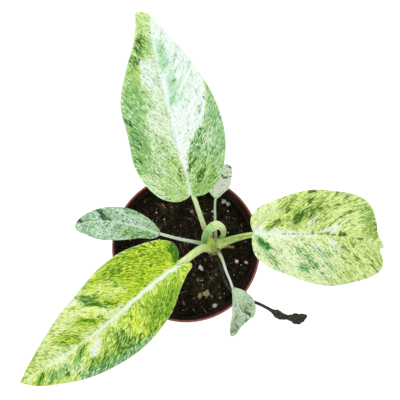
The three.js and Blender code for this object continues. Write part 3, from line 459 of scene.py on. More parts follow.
class PotSettings(bpy.types.PropertyGroup):
    """Sizes and colours of the nursery pot"""

    height: length("Height", "From the foot to the top of the rim", 105)
    rim_radius: length("Rim radius", "Outer radius at the top", 60)
    rim_band: length("Rim band", "Height of the wider band below the rim", 13.5)
    foot_radius: length("Foot radius", "Outer radius at the foot", 42)
    wall: length("Wall", "Thickness of the moulded wall", 1.6)
    under_step: length("Underside step", "How far the drained ring stands off the ground", 2.5)
    pad_radius: length("Pad radius", "Radius of the pad in the middle of the underside", 24)
    drain_radius: length("Drain radius", "Radius of one drain hole", 3.5)
    drain_circle: length("Drain circle", "Radius of the ring of drain holes", 31)
    drain_holes: count("Drain holes", "Holes in the ring of the underside", 8, 1)
    plastic: colour("Plastic", "Terracotta-coloured polypropylene", "#8c4036")
    # The rim's paler top: partly scuffs and partly a painted highlight
    lip_scuffs_and_highlight: colour("Lip", "Paler, scuffed plastic at the rim", "#8a4e4c")
    # The inner wall's deep red is painted shade, and the darker tone below it is soil dirt and
    # painted shade
    inside: colour("Inside", "Shaded, deep red inner wall", "#5e1c16")
    soil_stain_and_shade: colour("Stain", "Soil that clings to the inner wall", "#1c130e")


class SoilSettings(bpy.types.PropertyGroup):
    """Sizes and colours of the potting soil"""

    level: length("Level", "Mean height of the soil", 88.5)
    hollow: length("Hollow", "How far the soil sinks at its low side", 4)
    mound: length("Mound", "Height of the heap round the stem", 3)
    crumbs: count("Crumbs", "Loose crumbs on the soil", 1500)
    perlite: count("Perlite", "Fine perlite grains, besides the larger ones", 46)
    bark: count("Bark", "Fine bark chips, besides the larger ones", 24)
    fibres: count("Fibres", "Fine dead roots, besides the longer ones", 70)
    peat: colour("Peat", "Damp peat in shadow", "#14100b")
    peat_dry: colour("Dry peat", "Peat where it has dried", "#43362a")
    moss: colour("Moss", "Olive film of algae on the peat", "#46462c")


class PlantSettings(bpy.types.PropertyGroup):
    """Sizes of the plant's parts"""

    blade: length("Blade", "Thickness of a leaf blade", 0.7)
    groove: length("Midrib groove", "Depth of the groove over the midrib", 0.5)
    vein_spacing: length("Vein spacing", "Between side veins at the midrib", 9)
    relief: length("Vein relief", "How far the blade swells between side veins", 0.3)
    vein_angle: FloatProperty(
        name="Vein angle",
        description="Between the midrib and a side vein",
        default=math.radians(42),
        subtype="ANGLE",
    )
    underside: colour("Underside", "Pale, dull lower skin of a blade", "#bcd29a")
    underside_green: colour("Underside green", "Green that shows through it", "#8fb367")


# What each colour of a blade is, and its sRGB value on each leaf
TISSUES = {
    "white": "Tissue with no green in it",
    "cream": "Palest green tissue",
    "lime": "Yellow-green tissue",
    "green": "Flecks in the pale tissue",
    "green_lime": "Flecks in the yellow-green tissue",
    "green_cool": "Flecks in the bluish tissue",
    "dark": "Fully green tissue",
    "dark_cool": "Fully green tissue by bluish tissue",
    "rib": "Pale band over the midrib",
    "mint": "Soft green cloud in the white tissue",
}
BLADE_CODES = {
    "leaf_back": (
        "#f3fdf8", "#e4f6d4", "#cfec90", "#7cb44a", "#8abc36",
        "#70b680", "#306000", "#2a6a36", "#e6f4d2", "#b8e4be",
    ),
    "leaf_right": (
        "#f0fbe8", "#ecf9bc", "#e0f490", "#7ca62e", "#8aaa1e",
        "#5cac64", "#406400", "#1e7c34", "#deecc0", "#bce4a6",
    ),
    "leaf_front": (
        "#f0fae6", "#ecf8be", "#e2f440", "#7cac28", "#86b400",
        "#5ca864", "#3a7400", "#2c7a3c", "#e6f4de", "#c8e8b4",
    ),
    "small_leaf_left": (
        "#e6f8ec", "#cae8c6", "#bade88", "#609a50", "#669a36",
        "#58945e", "#265820", "#2a5c30", "#d8ecd0", "#b8dabc",
    ),
    "small_leaf_back": (
        "#fdfffa", "#f2fce8", "#d8e8b4", "#80aa66", "#80a650",
        "#7ca480", "#284818", "#28482a", "#e8f4dc", "#c8e2c0",
    ),
    "small_leaf_front": (
        "#e0f2e4", "#c4dcba", "#b0cc88", "#648a50", "#6c8c3a",
        "#64906a", "#283f20", "#364e30", "#cce0c8", "#b8d4b8",
    ),
}


def leaf_palette(leaf):
    """A settings group with the colours of one leaf's blade."""
    colours = {
        key: colour(key.replace("_", " ").capitalize(), meaning, code)
        for (key, meaning), code in zip(TISSUES.items(), BLADE_CODES[leaf])
    }
    return type(f"{leaf}_palette", (bpy.types.PropertyGroup,), {"__annotations__": colours})


GROUPS = {
    "plant_pot": PotSettings,
    "plant_soil": SoilSettings,
    "plant_sizes": PlantSettings,
    **{f"plant_{leaf}": leaf_palette(leaf) for leaf in LEAVES},
}


# Meshes


def deselect():
    """Leaves edit mode, with nothing selected."""
    if bpy.context.object and bpy.context.object.mode != "OBJECT":
        bpy.ops.object.mode_set(mode="OBJECT")
    bpy.ops.object.select_all(action="DESELECT")


def pick(piece):
    """Makes one piece the only selected and the active one."""
    deselect()
    piece.select_set(True)
    bpy.context.view_layer.objects.active = piece


def name_piece(name):
    """Names the piece that was just added, and its mesh."""
    piece = bpy.context.object
    piece.name = name
    piece.data.name = name
    return piece


def mesh_points(mesh):
    """The places of a mesh's vertices, one to a row."""
    flat = np.empty(len(mesh.vertices) * 3)
    mesh.vertices.foreach_get("co", flat)
    return flat.reshape(-1, 3)


def mesh_piece(name, points, faces):
    """A new piece from an array of points, in metres, and a list of faces."""
    mesh = bpy.data.meshes.new(name)
    mesh.from_pydata(points.tolist(), [], faces)
    piece = bpy.data.objects.new(name, mesh)
    bpy.context.collection.objects.link(piece)
    return piece


def apply_modifier(piece, kind, **settings):
    """Adds a modifier to a piece, sets it up and applies it."""
    pick(piece)
    modifier = piece.modifiers.new(kind.title(), kind)
    for key, value in settings.items():
        setattr(modifier, key, value)
    bpy.ops.object.modifier_apply(modifier=modifier.name)


def select_border():
    """Goes into edit mode with the open edge of the active piece selected."""
    bpy.ops.object.mode_set(mode="EDIT")
    bpy.ops.mesh.select_all(action="SELECT")
    bpy.ops.mesh.region_to_loop()


def turn_outward():
    """Turns all faces of the active, closed piece outward, and leaves edit mode."""
    bpy.ops.mesh.select_all(action="SELECT")
    bpy.ops.mesh.normals_make_consistent(inside=False)
    bpy.ops.object.mode_set(mode="OBJECT")


def merge_doubles(piece, distance):
    """Merges the vertices that meet in seams and poles."""
    pick(piece)
    bpy.ops.object.mode_set(mode="EDIT")
    bpy.ops.mesh.select_all(action="SELECT")
    bpy.ops.mesh.remove_doubles(threshold=distance)


def finish_piece(piece, materials, nodes=()):
    """Gives a piece its materials and says what it rides on and stands for."""
    pick(piece)
    for material in materials:
        piece.data.materials.append(material)
    if nodes:
        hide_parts(*nodes)
    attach(piece, "root")
    deselect()


def grid_piece(name, places, uv, attributes=None):
    """A grid with each vertex carried to its place, in metres, by row and column, with its UV."""
    rows, columns = places.shape[0] - 1, places.shape[1] - 1
    deselect()
    bpy.ops.mesh.primitive_grid_add(x_subdivisions=columns, y_subdivisions=rows, size=2)
    piece = name_piece(name)
    mesh = piece.data
    flat = mesh_points(mesh)
    column = np.rint((flat[:, 0] + 1) * columns / 2).astype(int)
    row = np.rint((flat[:, 1] + 1) * rows / 2).astype(int)
    mesh.vertices.foreach_set("co", places[row, column].astype(np.float32).ravel())
    for key, values in (attributes or {}).items():
        layer = mesh.attributes.new(key, "FLOAT", "POINT")
        layer.data.foreach_set("value", values[row, column].astype(np.float32).ravel())
    corners = np.empty(len(mesh.loops), dtype=np.int32)
    mesh.loops.foreach_get("vertex_index", corners)
    flat_uv = uv[row, column][corners].astype(np.float32)
    mesh.uv_layers.active.data.foreach_set("uv", flat_uv.ravel())
    mesh.update()
    return piece


def along(stations, share):
    """A number that changes smoothly between stations: shares of the length, and values there."""
    xs = np.array([s[0] for s in stations], float)
    ys = np.array([s[1] for s in stations], float)
    slope = np.gradient(ys)
    slope[0] = (ys[1] - ys[0]) / (xs[1] - xs[0])
    slope[-1] = (ys[-1] - ys[-2]) / (xs[-1] - xs[-2])
    slope[1:-1] = (ys[2:] - ys[:-2]) / (xs[2:] - xs[:-2])
    u = np.clip(share, xs[0], xs[-1])
    i = np.clip(np.searchsorted(xs, u, side="right") - 1, 0, len(xs) - 2)
    span = xs[i + 1] - xs[i]
    t = (u - xs[i]) / span
    return (
        (2 * t**3 - 3 * t**2 + 1) * ys[i]
        + (t**3 - 2 * t**2 + t) * span * slope[i]
        + (3 * t**2 - 2 * t**3) * ys[i + 1]
        + (t**3 - t**2) * span * slope[i + 1]
    )


def curve_through(points, per_span=40):
    """Points close together on a centripetal curve through the given ones, and their reach."""
    p = np.array(points, float)
    p = np.vstack([2 * p[0] - p[1], p, 2 * p[-1] - p[-2]])
    out = []
    for i in range(1, len(p) - 2):
        knots = [0.0]
        for k in range(3):
            gap = math.sqrt(np.linalg.norm(p[i + k] - p[i + k - 1]))
            knots.append(knots[-1] + max(gap, 1e-4))
        t = np.linspace(knots[1], knots[2], per_span, endpoint=False)[:, None]

        def between(start, end, first, second):
            span = knots[end] - knots[start]
            return (knots[end] - t) / span * first + (t - knots[start]) / span * second

        legs = [between(k, k + 1, p[i - 1 + k], p[i + k]) for k in range(3)]
        halves = [between(k, k + 2, legs[k], legs[k + 1]) for k in range(2)]
        out.append(between(1, 2, *halves))
    out.append(p[-2][None, :])
    dense = np.vstack(out)
    reach = np.concatenate([[0], np.cumsum(np.linalg.norm(np.diff(dense, axis=0), axis=1))])
    return dense, reach


def points_at(at, reach, dense):
    """The points of a line at lengths along it, from points on it and the length to each."""
    return np.stack([np.interp(at, reach, axis) for axis in dense.T], -1)


def unit(v):
    """Vectors at a length of one."""
    return v / np.maximum(np.linalg.norm(v, axis=-1, keepdims=True), 1e-9)


def tube_piece(name, path, width, depth, sides, rows, ripple=None, twist=0, level=False):
    """A closed tube along a path: a sheet rolled round it, with rounded ends.

    width and depth are its half sizes in millimetres, as stations or functions of the share of the
    length, and ripple is a factor on them by share and angle. twist turns it, in radians, and level
    keeps its width flat.
    """
    dense, reach = curve_through(path)
    whole = reach[-1]
    # Rows stand closer together at both ends.
    even = np.linspace(0, 1, rows + 1)
    share = even - 0.9 * np.sin(TURN * even) / TURN
    at = share * whole
    step = 0.004 * whole
    before, centre, after = (points_at(at + shift, reach, dense) for shift in (-step, 0, step))
    ahead = unit(after - before)
    normal = np.zeros_like(ahead)
    last = np.array([0.0, 0.0, 1.0])
    for i, way in enumerate(ahead):
        last = last - way * last.dot(way)
        last = last / np.linalg.norm(last)
        normal[i] = last
    if level:
        normal = unit(np.cross(ahead, np.cross([0.0, 0.0, 1.0], ahead)))
    across = np.cross(normal, ahead)
    angle = np.linspace(0, TURN, sides + 1)
    w, d = (size(share) if callable(size) else along(size, share) for size in (width, depth))
    # Each end closes over half of the half width.
    end = np.clip(np.minimum(at, whole - at) / np.maximum(0.5 * w, 1e-6), 0, 1)
    close = np.sqrt(1 - (1 - end) ** 2)
    factor = np.ones((rows + 1, sides + 1))
    if ripple:
        factor = ripple(share[:, None], angle[None, :])
    angles = angle[None, :] + twist * share[:, None]
    size = factor * close[:, None]
    places = (
        centre[:, None, :]
        + across[:, None, :] * (np.cos(angles) * w[:, None] * size)[..., None]
        + normal[:, None, :] * (np.sin(angles) * d[:, None] * size)[..., None]
    )
    uv = np.stack(np.broadcast_arrays(angle[None, :] / TURN, at[:, None] / UV_SPAN), -1)
    shares = np.broadcast_to(share[:, None], factor.shape)
    piece = grid_piece(name, places * MM, uv, {"share": shares})
    merge_doubles(piece, 0.002 * MM)
    turn_outward()
    bpy.ops.object.shade_smooth()
    return piece


# Leaves


def midrib_way(leaf, share):
    """The direction of the midrib at shares of its length."""
    heading = np.radians(along(leaf["heading"], share))
    pitch = np.radians(along(leaf["pitch"], share))
    flat = np.cos(pitch)
    return np.stack([flat * np.cos(heading), flat * np.sin(heading), np.sin(pitch)], -1)


def midrib_frame(leaf, x):
    """The midrib's place at x, and the directions along it, to its left and out of the blade."""
    steps = 400
    line = midrib_way(leaf, (np.arange(steps) + 0.5) / steps) * leaf["length"] / steps
    midrib = np.vstack([leaf["base"], leaf["base"] + np.cumsum(line, axis=0)])
    share = np.clip(x / leaf["length"], 0, 1)
    ahead = midrib_way(leaf, share)
    heading = np.radians(along(leaf["heading"], share))
    roll = np.radians(along(leaf["roll"], share))
    level = np.stack([-np.sin(heading), np.cos(heading), np.zeros_like(heading)], -1)
    above = np.cross(ahead, level)
    left = level * np.cos(roll)[..., None] + above * np.sin(roll)[..., None]
    up = np.cross(ahead, left)
    marks = np.linspace(0, 1, steps + 1)
    return points_at(share, marks, midrib) + ahead * np.minimum(x, 0)[..., None], ahead, left, up


def blade_point(leaf, x, y):
    """The place in space of the point x, y of the flat blade."""
    centre, _, left, up = midrib_frame(leaf, x)
    out = np.abs(y)
    fold = math.radians(leaf["fold"])
    bend = math.radians(leaf["camber"]) / leaf["half_width"]
    side = (math.sin(fold) - np.sin(fold - bend * out)) / bend
    rise = (np.cos(fold - bend * out) - math.cos(fold)) / bend
    height, long, phase = leaf["wave"]
    turn = TURN * x / long + phase + np.where(y > 0, 1.3, 0)
    wave = height * (out / leaf["half_width"]) ** 2 * np.sin(turn)
    return centre + left * (np.sign(y) * side)[..., None] + up * (rise + wave)[..., None]


def blade_normal(leaf, x, y):
    """The direction out of the blade's upper side."""
    reach = 0.4
    across = blade_point(leaf, x, y + reach) - blade_point(leaf, x, y - reach)
    down = blade_point(leaf, x + reach, y) - blade_point(leaf, x - reach, y)
    return unit(np.cross(down, across))


def margin_rows(leaf, side, angle, lobe_rows, starts):
    """Where the side veins that leave the midrib at starts meet one half's margin, after the fan of
    the lobe behind the base."""
    flat = [(0, 0), *leaf[side], (leaf["length"], 0)]
    dense, reach = curve_through([(x, y, 0) for x, y in flat], 60)
    origin = dense[:, 0] - np.abs(dense[:, 1]) / math.tan(angle)
    lobe = reach[np.nonzero(origin <= 0)[0][-1]]
    beyond = reach >= lobe
    rising = np.maximum.accumulate(origin[beyond]) + 1e-6 * np.arange(beyond.sum())
    at = np.concatenate([
        np.linspace(0, lobe, lobe_rows + 1),
        np.interp(starts[1:], rising, reach[beyond]),
    ])
    at[-1] = reach[-1]
    fan = np.concatenate([np.linspace(-0.6 * lobe, 0, lobe_rows + 1)[:-1], starts])
    return points_at(at, reach, dense[:, :2]), fan


def soft_inside(outline, x, y, softness):
    """1 well inside an outline and 0 well outside it, with a soft edge."""
    points = np.array(outline, float)
    nearest = np.full(x.shape, 1e9)
    inside = np.zeros(x.shape, bool)
    for (ax, ay), (bx, by) in zip(points, np.roll(points, -1, axis=0)):
        wx, wy = bx - ax, by - ay
        share = np.clip(((x - ax) * wx + (y - ay) * wy) / (wx * wx + wy * wy), 0, 1)
        nearest = np.minimum(nearest, np.hypot(x - ax - wx * share, y - ay - wy * share))
        crosses = (ay > y) != (by > y)
        inside ^= crosses & (x < ax + (y - ay) * wx / (wy if wy else 1e-9))
    depth = np.where(inside, nearest, -nearest)
    t = np.clip(0.5 + depth / softness, 0, 1)
    return t * t * (3 - 2 * t)


def blade_zones(name, leaf, x, y, t, angle):
    """The shares of each kind of tissue over the blade."""
    marks = MARKS[name]
    wander = np.vectorize(lambda a, b, c: noise.noise(Vector((a, b, c))))
    flat_x, flat_y = x, y
    x, y = x + 2.2 * wander(x / 6, y / 6, 3.0), y + 2.2 * wander(x / 6, y / 6, 9.0)
    zones = {key: np.full(x.shape, float(marks["levels"].get(key, 0))) for key in ZONES}
    for key, value, softness, outline in marks["areas"]:
        inside = soft_inside(outline, x, y, softness)
        zones[key] = zones[key] * (1 - inside) + value * inside
    # White tissue holds fewer green flecks.
    zones["green"] *= 1 - 0.72 * zones["white"]
    zones["dark"] *= 1 - 0.5 * zones["white"]
    for key, dashes in marks["dashes"].items():
        for cx, cy, half_long, half_wide, value in dashes:
            slope = angle if cy > 0 else -angle
            ahead = (x - cx) * math.cos(slope) + (y - cy) * math.sin(slope)
            aside = (y - cy) * math.cos(slope) - (x - cx) * math.sin(slope)
            inside = np.clip((1.45 - np.hypot(ahead / half_long, aside / half_wide)) / 0.9, 0, 1)
            zones[key] = zones[key] * (1 - inside) + value * inside
    # A patch never fills quite up, so a few pale flecks are left in it.
    zones["dark"] = np.minimum(zones["dark"], 0.82)
    share = np.clip(flat_x / leaf["length"], 0, 1)
    aside = flat_y - marks.get("rib_shift", 0) + 0.5 * wander(x / 3, y, 5.0)
    aside = aside / along(marks["rib_width"], share)
    zones["rib"] = along(marks["rib_strength"], share) * np.exp(-(aside**4))
    for start, end, strength in marks.get("crease", []):
        inside = np.clip((x - start) / 4, 0, 1) * np.clip((end - x) / 4, 0, 1)
        zones["dark"] += strength * inside * np.exp(-((flat_y / 0.45) ** 2))
    zones["edge"] = np.clip((t - 0.97) / 0.03, 0, 1) + 0 * x
    return zones


def build_blade(name, leaf, sizes, materials):
    """One blade: rows follow the side veins, so the flecks can too, and columns run outward."""
    angle = sizes.vein_angle
    long = leaf["length"]
    small = min(1, leaf["half_width"] / 30)
    # Rows fan out in the lobe behind the base, and then leave the midrib. Columns stand closer
    # together at the midrib, with one more just inside the margin.
    lobe_rows = max(8, leaf["rows"] // 5)
    starts = long * (1 - (1 - np.linspace(0, 1, leaf["rows"] + 1)) ** 1.15)
    t = (np.arange(leaf["columns"] + 1) / leaf["columns"]) ** 1.2
    t[-2] = 0.975
    origin = np.concatenate([np.zeros(lobe_rows), starts])[:, None]
    halves = []
    for side, sign in (("left", 1), ("right", -1)):
        meets, fan = margin_rows(leaf, side, angle, lobe_rows, starts)
        mx, my = meets[:, :1], meets[:, 1:]
        from_rib = np.hypot(mx - origin, my) * t * sign
        halves.append((origin + (mx - origin) * t**1.35, my * t, from_rib))
    # The left half runs in from its margin, and the right half on out to its own.
    x, y, v = (np.hstack([left[:, ::-1], right[:, 1:]]) for left, right in zip(*halves))
    across = np.concatenate([t[::-1], t[1:]])[None, :]
    u = np.broadcast_to(fan[:, None], x.shape)
    spacing = sizes.vein_spacing / MM * small
    groove = -sizes.groove / MM * np.exp(-((y / 1.7) ** 2)) * np.clip(1.1 - x / long, 0.2, 1)
    swell = -sizes.relief / MM * np.cos(TURN * u / spacing) * np.clip(np.abs(v) / 6, 0, 1)
    swell = swell * (1 - across**3) * np.clip((long - x) / 30, 0, 1) * small
    lift = (groove + swell + sizes.blade / MM / 2)[..., None]
    places = blade_point(leaf, x, y) + blade_normal(leaf, x, y) * lift
    uv = np.stack([u / UV_SPAN + 0.5, v / UV_SPAN + 0.5], -1)
    zones = blade_zones(name, leaf, x, y, across, angle)
    zones["vein"] = np.broadcast_to(u / spacing, x.shape)
    piece = grid_piece(f"{name}_blade_skin", places * MM, uv, zones)
    merge_doubles(piece, 0.01 * MM)
    deselect()
    for material in materials:
        piece.data.materials.append(material)
    under = {"offset": -1, "material_offset": 1, "use_even_offset": False}
    apply_modifier(piece, "SOLIDIFY", thickness=sizes.blade, **under)
    bpy.ops.object.shade_smooth()
    finish_piece(piece, (), [f"{name}_blade"])


def build_stalk(name, leaf, material):
    """A stalk from its sheath in the stem up to the blade, and on under it as the midrib."""
    foot, top = leaf["stalk_radius"]
    tip = 0.4
    end = leaf["length"] * 0.93
    x = np.linspace(min(6, 0.12 * end), end, max(8, round(end / 8)))
    centre, _, _, up = midrib_frame(leaf, x)
    radius = top + (tip - top) * x / end
    # The upper side of the rib stands a little into the blade.
    under = centre - up * (radius + 0.35)[:, None]
    path = [*leaf["stalk"], *[tuple(p) for p in under]]
    dense, reach = curve_through(path)
    nearest = np.linalg.norm(dense - under[0], axis=1).argmin()
    joint = reach[nearest] / reach[-1]

    def size(share):
        stalk = foot + (top - foot) * np.clip(share / joint, 0, 1) ** 0.7
        rib = top + (tip - top) * np.clip((share - joint) / (1 - joint), 0, 1)
        sheath = 0.3 * foot * np.exp(-((share * reach[-1] / 9) ** 2))
        return np.where(share < joint, stalk, rib) + sheath

    def channel(share, angle):
        groove = 0.16 * np.exp(-(((angle - TURN / 4) / 0.42) ** 2))
        return 1 - groove * np.clip(1.2 - share / joint, 0, 1)

    rows = max(70, round(reach[-1] / 2))
    piece = tube_piece(f"{name}_stalk_skin", path, size, size, 20, rows, channel)
    finish_piece(piece, [material], [f"{name}_stalk"])


# Materials


def add_node(tree, kind, inputs=None, out=0, **settings):
    """Adds a shader node, sets it up, fills or links its inputs and returns one of its outputs."""
    node = tree.nodes.new("ShaderNode" + kind)
    for key, value in settings.items():
        setattr(node, key, value)
    for key, value in (inputs or {}).items():
        if isinstance(value, bpy.types.NodeSocket):
            tree.links.new(value, node.inputs[key])
        else:
            node.inputs[key].default_value = value
    return node.outputs[out] if len(node.outputs) else node


def new_material(name):
    """An empty material and its node tree."""
    material = bpy.data.materials.new(name)
    material.use_nodes = True
    material.node_tree.nodes.clear()
    return material, material.node_tree


def close_material(tree, inputs, pattern=None, strength=0, depth=0):
    """Adds the shader, and under it a relief from a pattern if there is one, its depth in mm."""
    if pattern is not None:
        relief = {"Height": pattern, "Strength": strength, "Distance": depth * MM}
        inputs["Normal"] = add_node(tree, "Bump", relief)
    shader = add_node(tree, "BsdfPrincipled", inputs)
    add_node(tree, "OutputMaterial", {"Surface": shader})


def lay_coats(tree, skin, *coats):
    """Lays coats over a skin. Each has its pattern, the values of it where the coat starts and is
    full, how much it then covers, and its colour."""
    for pattern, start, full, most, tone in coats:
        cut = {"Value": pattern, "From Min": start, "From Max": full, "To Max": most}
        share = add_node(tree, "MapRange", cut)
        skin = add_node(tree, "Mix", {0: share, 6: skin, 7: tone}, out=2, data_type="RGBA")
    return skin


def object_noise(tree, size_mm, detail=3, stretch=(1, 1, 1)):
    """Noise on Object coordinates whose cells are about size_mm across."""
    where = add_node(tree, "TexCoord", out="Object")
    scale = tuple(1 / (size_mm * MM) * s for s in stretch)
    place = add_node(tree, "Mapping", {"Vector": where, "Scale": scale})
    cloud = {"Vector": place, "Scale": 1, "Detail": detail, "Roughness": 0.6}
    return add_node(tree, "TexNoise", cloud)


def uv_noise(tree, uv, scale):
    """Noise on a piece's own UV map."""
    place = add_node(tree, "Mapping", {"Vector": uv, "Scale": scale})
    return add_node(tree, "TexNoise", {"Vector": place, "Scale": 1, "Detail": 3})


def variegated_blade(name, colours, seed, grain, drag):
    """Waxy upper skin of a blade, smooth with a soft sheen. Its tissue is flecked along the side
    veins, and each patch of a tissue has a soft edge."""
    material, tree = new_material(name)
    zone = {
        key: add_node(tree, "Attribute", out="Fac", attribute_name=key) for key in (*ZONES, "vein")
    }
    flat = add_node(tree, "UVMap", uv_map="UVMap")
    # A slow wander of about two millimetres keeps the streaks from running straight.
    wander = {"Vector": flat, "Scale": 32 / grain, "Detail": 2}
    drift = add_node(tree, "TexNoise", wander, out="Color")
    drift = add_node(tree, "VectorMath", {0: drift, 1: (0.5, 0.5, 0.5)}, operation="SUBTRACT")
    drifted = {0: drift, 1: (0.022, 0.022, 0), 2: flat}
    uv = add_node(tree, "VectorMath", drifted, operation="MULTIPLY_ADD")

    # The noises that break the tissue up: each one's cell in millimetres, across and along a side
    # vein, how far along the noise it is taken, and its detail
    noises = {}
    for key, wide, deep, offset, detail in (
        ("fine", 1.2 * grain, 2.1 * grain, 1, 4),
        ("streak", 1.1 * grain, 10 * grain, 5, 3),
        ("patch", 5, 11, 9, 4),
        ("fine_b", 1.2 * grain, 2.0 * grain, 17, 4),
        ("patch_b", 3, 7, 23, 3),
        ("dots", 1.1, 1.4, 31, 0),
    ):
        cells = {
            "Vector": uv,
            "Location": (seed * 7.3 + offset, offset * 3.1, 0),
            "Scale": (UV_SPAN / wide, UV_SPAN / deep, 1),
        }
        place = add_node(tree, "Mapping", cells)
        cloud = {"Vector": place, "Scale": 1, "Detail": detail, "Roughness": 0.6}
        noises[key] = add_node(tree, "TexNoise", cloud)

    # How much each tissue covers: its level at the place, the weights of the noises added to it,
    # the sums where it starts and is full, and how much it covers then
    line = add_node(tree, "Math", {0: zone["vein"], 1: 0.5}, operation="PINGPONG")
    cover = {}
    for key, level, weights, start, full, most in (
        ("green", zone["green"], {"fine": 2.2, "streak": 1.5 * drag, "patch": 1}, 0.24, 0.76, 1),
        ("dark", zone["dark"], {"fine": 0.9, "fine_b": 1.7, "streak": 1.2 * drag, "patch_b": 1},
         0.4, 0.7, 1),
        ("tint", zone["lime"], {"patch_b": 1.4, "streak": 0.9}, 0.05, 0.95, 1),
        ("bare", zone["white"], {"patch_b": 0.8, "streak": 1.1, "fine": 0.5}, 0.2, 0.8, 1),
        ("cloud", zone["haze"], {"patch": 1.4, "patch_b": 0.8, "fine_b": 0.6}, 0.2, 0.9, 1),
        ("specks", noises["dots"], {}, 0.67, 0.75, 0.5),
        ("veins", line, {}, 0.08, 0, 0.1),
        ("margin", zone["edge"], {}, 0, 1, 0.5),
    ):
        for part, weight in weights.items():
            centred = add_node(tree, "Math", {0: noises[part], 1: 0.5}, operation="SUBTRACT")
            spread = {0: centred, 1: weight, 2: level}
            level = add_node(tree, "Math", spread, operation="MULTIPLY_ADD")
        cut = {"Value": level, "From Min": start, "From Max": full, "To Max": most}
        cover[key] = add_node(tree, "MapRange", cut)

    # Each mix has its name, the share of its second tissue, and the two tissues
    tone = {key: getattr(colours, key) for key in TISSUES}
    for key, share, first, second in (
        ("leafy", cover["tint"], "cream", "lime"),
        ("bare", cover["cloud"], "white", "mint"),
        ("pale", cover["bare"], "leafy", "bare"),
        ("fleck", zone["lime"], "green", "green_lime"),
        ("fleck", zone["cool"], "fleck", "green_cool"),
        ("deep", zone["cool"], "dark", "dark_cool"),
        ("band", zone["white"], "rib", "white"),
        ("skin", cover["green"], "pale", "fleck"),
        ("skin", cover["dark"], "skin", "deep"),
        ("skin", cover["specks"], "skin", "deep"),
        ("skin", cover["veins"], "skin", "pale"),
        ("skin", zone["rib"], "skin", "band"),
        ("skin", cover["margin"], "skin", "rib"),
    ):
        mixed = {0: share, 6: tone[first], 7: tone[second]}
        tone[key] = add_node(tree, "Mix", mixed, out=2, data_type="RGBA")

    wax = {
        "Base Color": tone["skin"],
        "Roughness": 0.42,
        "Specular IOR Level": 0.12,
        "Subsurface Weight": 0.04,
        "Subsurface Radius": (0.0012, 0.002, 0.0006),
    }
    close_material(tree, wax, noises["fine_b"], 0.12, 0.3)
    return material


def blade_underside(sizes):
    """Dull lower skin of a blade: the same tissue seen through a paler, matt layer."""
    material, tree = new_material("leaf_underside_matt")
    green = add_node(tree, "Attribute", out="Fac", attribute_name="green")
    uv = add_node(tree, "UVMap", uv_map="UVMap")
    # Clouds 1.3 mm wide and 5 mm long, which follow the side veins
    cloud = uv_noise(tree, uv, (150, 40, 1))
    level = add_node(tree, "Math", {0: green, 1: cloud}, operation="ADD")
    skin = lay_coats(tree, sizes.underside, (level, 0.7, 1.3, 1, sizes.underside_green))
    close_material(tree, {"Base Color": skin, "Roughness": 0.62})
    return material


def ridge_and_highlight_coat(tree, uv, ridge, most):
    """A coat of pale lines along a tube, a share of a turn to each side of its upper line: partly
    pale edges, and partly a painted highlight along the upper side. At a share of 0 it is one line on
    top, a painted highlight.
    """
    aside = add_node(tree, "SeparateXYZ", {"Vector": uv}, out="X")
    for middle in (0.25, ridge):
        aside = add_node(tree, "Math", {0: aside, 1: middle}, operation="SUBTRACT")
        aside = add_node(tree, "Math", {0: aside}, operation="ABSOLUTE")
    return aside, 0.06, 0.01, most, linear("#eef4c8")


def stalk_skin(name, pale, green, most, ridge=0.12, foot="#b0c874"):
    """Smooth juicy skin of a stalk, moist and a little glossy: green streaks along it, and a pale
    line on each side of its channel, partly a pale ridge and partly a painted highlight."""
    material, tree = new_material(name)
    uv = add_node(tree, "UVMap", uv_map="UVMap")
    # Streaks 7 mm long, nine to a turn
    streaks = uv_noise(tree, uv, (9, 28, 1))
    from_foot = add_node(tree, "SeparateXYZ", {"Vector": uv}, out="Y")
    skin = lay_coats(
        tree,
        linear(pale),
        (streaks, 0.4, 0.66, most, linear(green)),
        ridge_and_highlight_coat(tree, uv, ridge, 0.5),
        # A tone at the foot, which fades over 20 mm; on the crown's sheath it is painted shade low in
        # the crown
        (from_foot, 0.1, 0, 0.7, linear(foot)),
    )
    juicy = {
        "Base Color": skin,
        "Roughness": 0.38,
        "Specular IOR Level": 0.35,
        "Subsurface Weight": 0.1,
        "Subsurface Radius": (0.0015, 0.002, 0.0008),
    }
    close_material(tree, juicy, streaks, 0.1, 0.3)
    return material


def new_leaf_skin():
    """Glossy skin of the rolled leaf: olive at the crown, pale mint over the top, partly a painted
    highlight, and flecked.
    """
    material, tree = new_material("new_leaf_glossy")
    share = add_node(tree, "Attribute", out="Fac", attribute_name="share")
    uv = add_node(tree, "UVMap", uv_map="UVMap")
    # Flecks 2 mm long, seven to a turn
    flecks = uv_noise(tree, uv, (7, 90, 1))
    skin = lay_coats(
        tree,
        linear("#648a32"),
        (share, 0.15, 0.36, 1, linear("#86bc62")),
        (share, 0.4, 0.5, 1, linear("#b2dc8e")),
        # The palest tone over the top of the roll is partly a painted highlight
        (share, 0.52, 0.64, 1, linear("#d8eab0")),
        (share, 0.68, 0.78, 1, linear("#a6c45c")),
        (share, 0.84, 0.97, 1, linear("#64923a")),
        (flecks, 0.52, 0.7, 0.7, linear("#4f7c26")),
        ridge_and_highlight_coat(tree, uv, 0.17, 0.6),
    )
    glossy = {"Base Color": skin, "Roughness": 0.34, "Specular IOR Level": 0.4}
    close_material(tree, glossy, flecks, 0.1, 0.3)
    return material


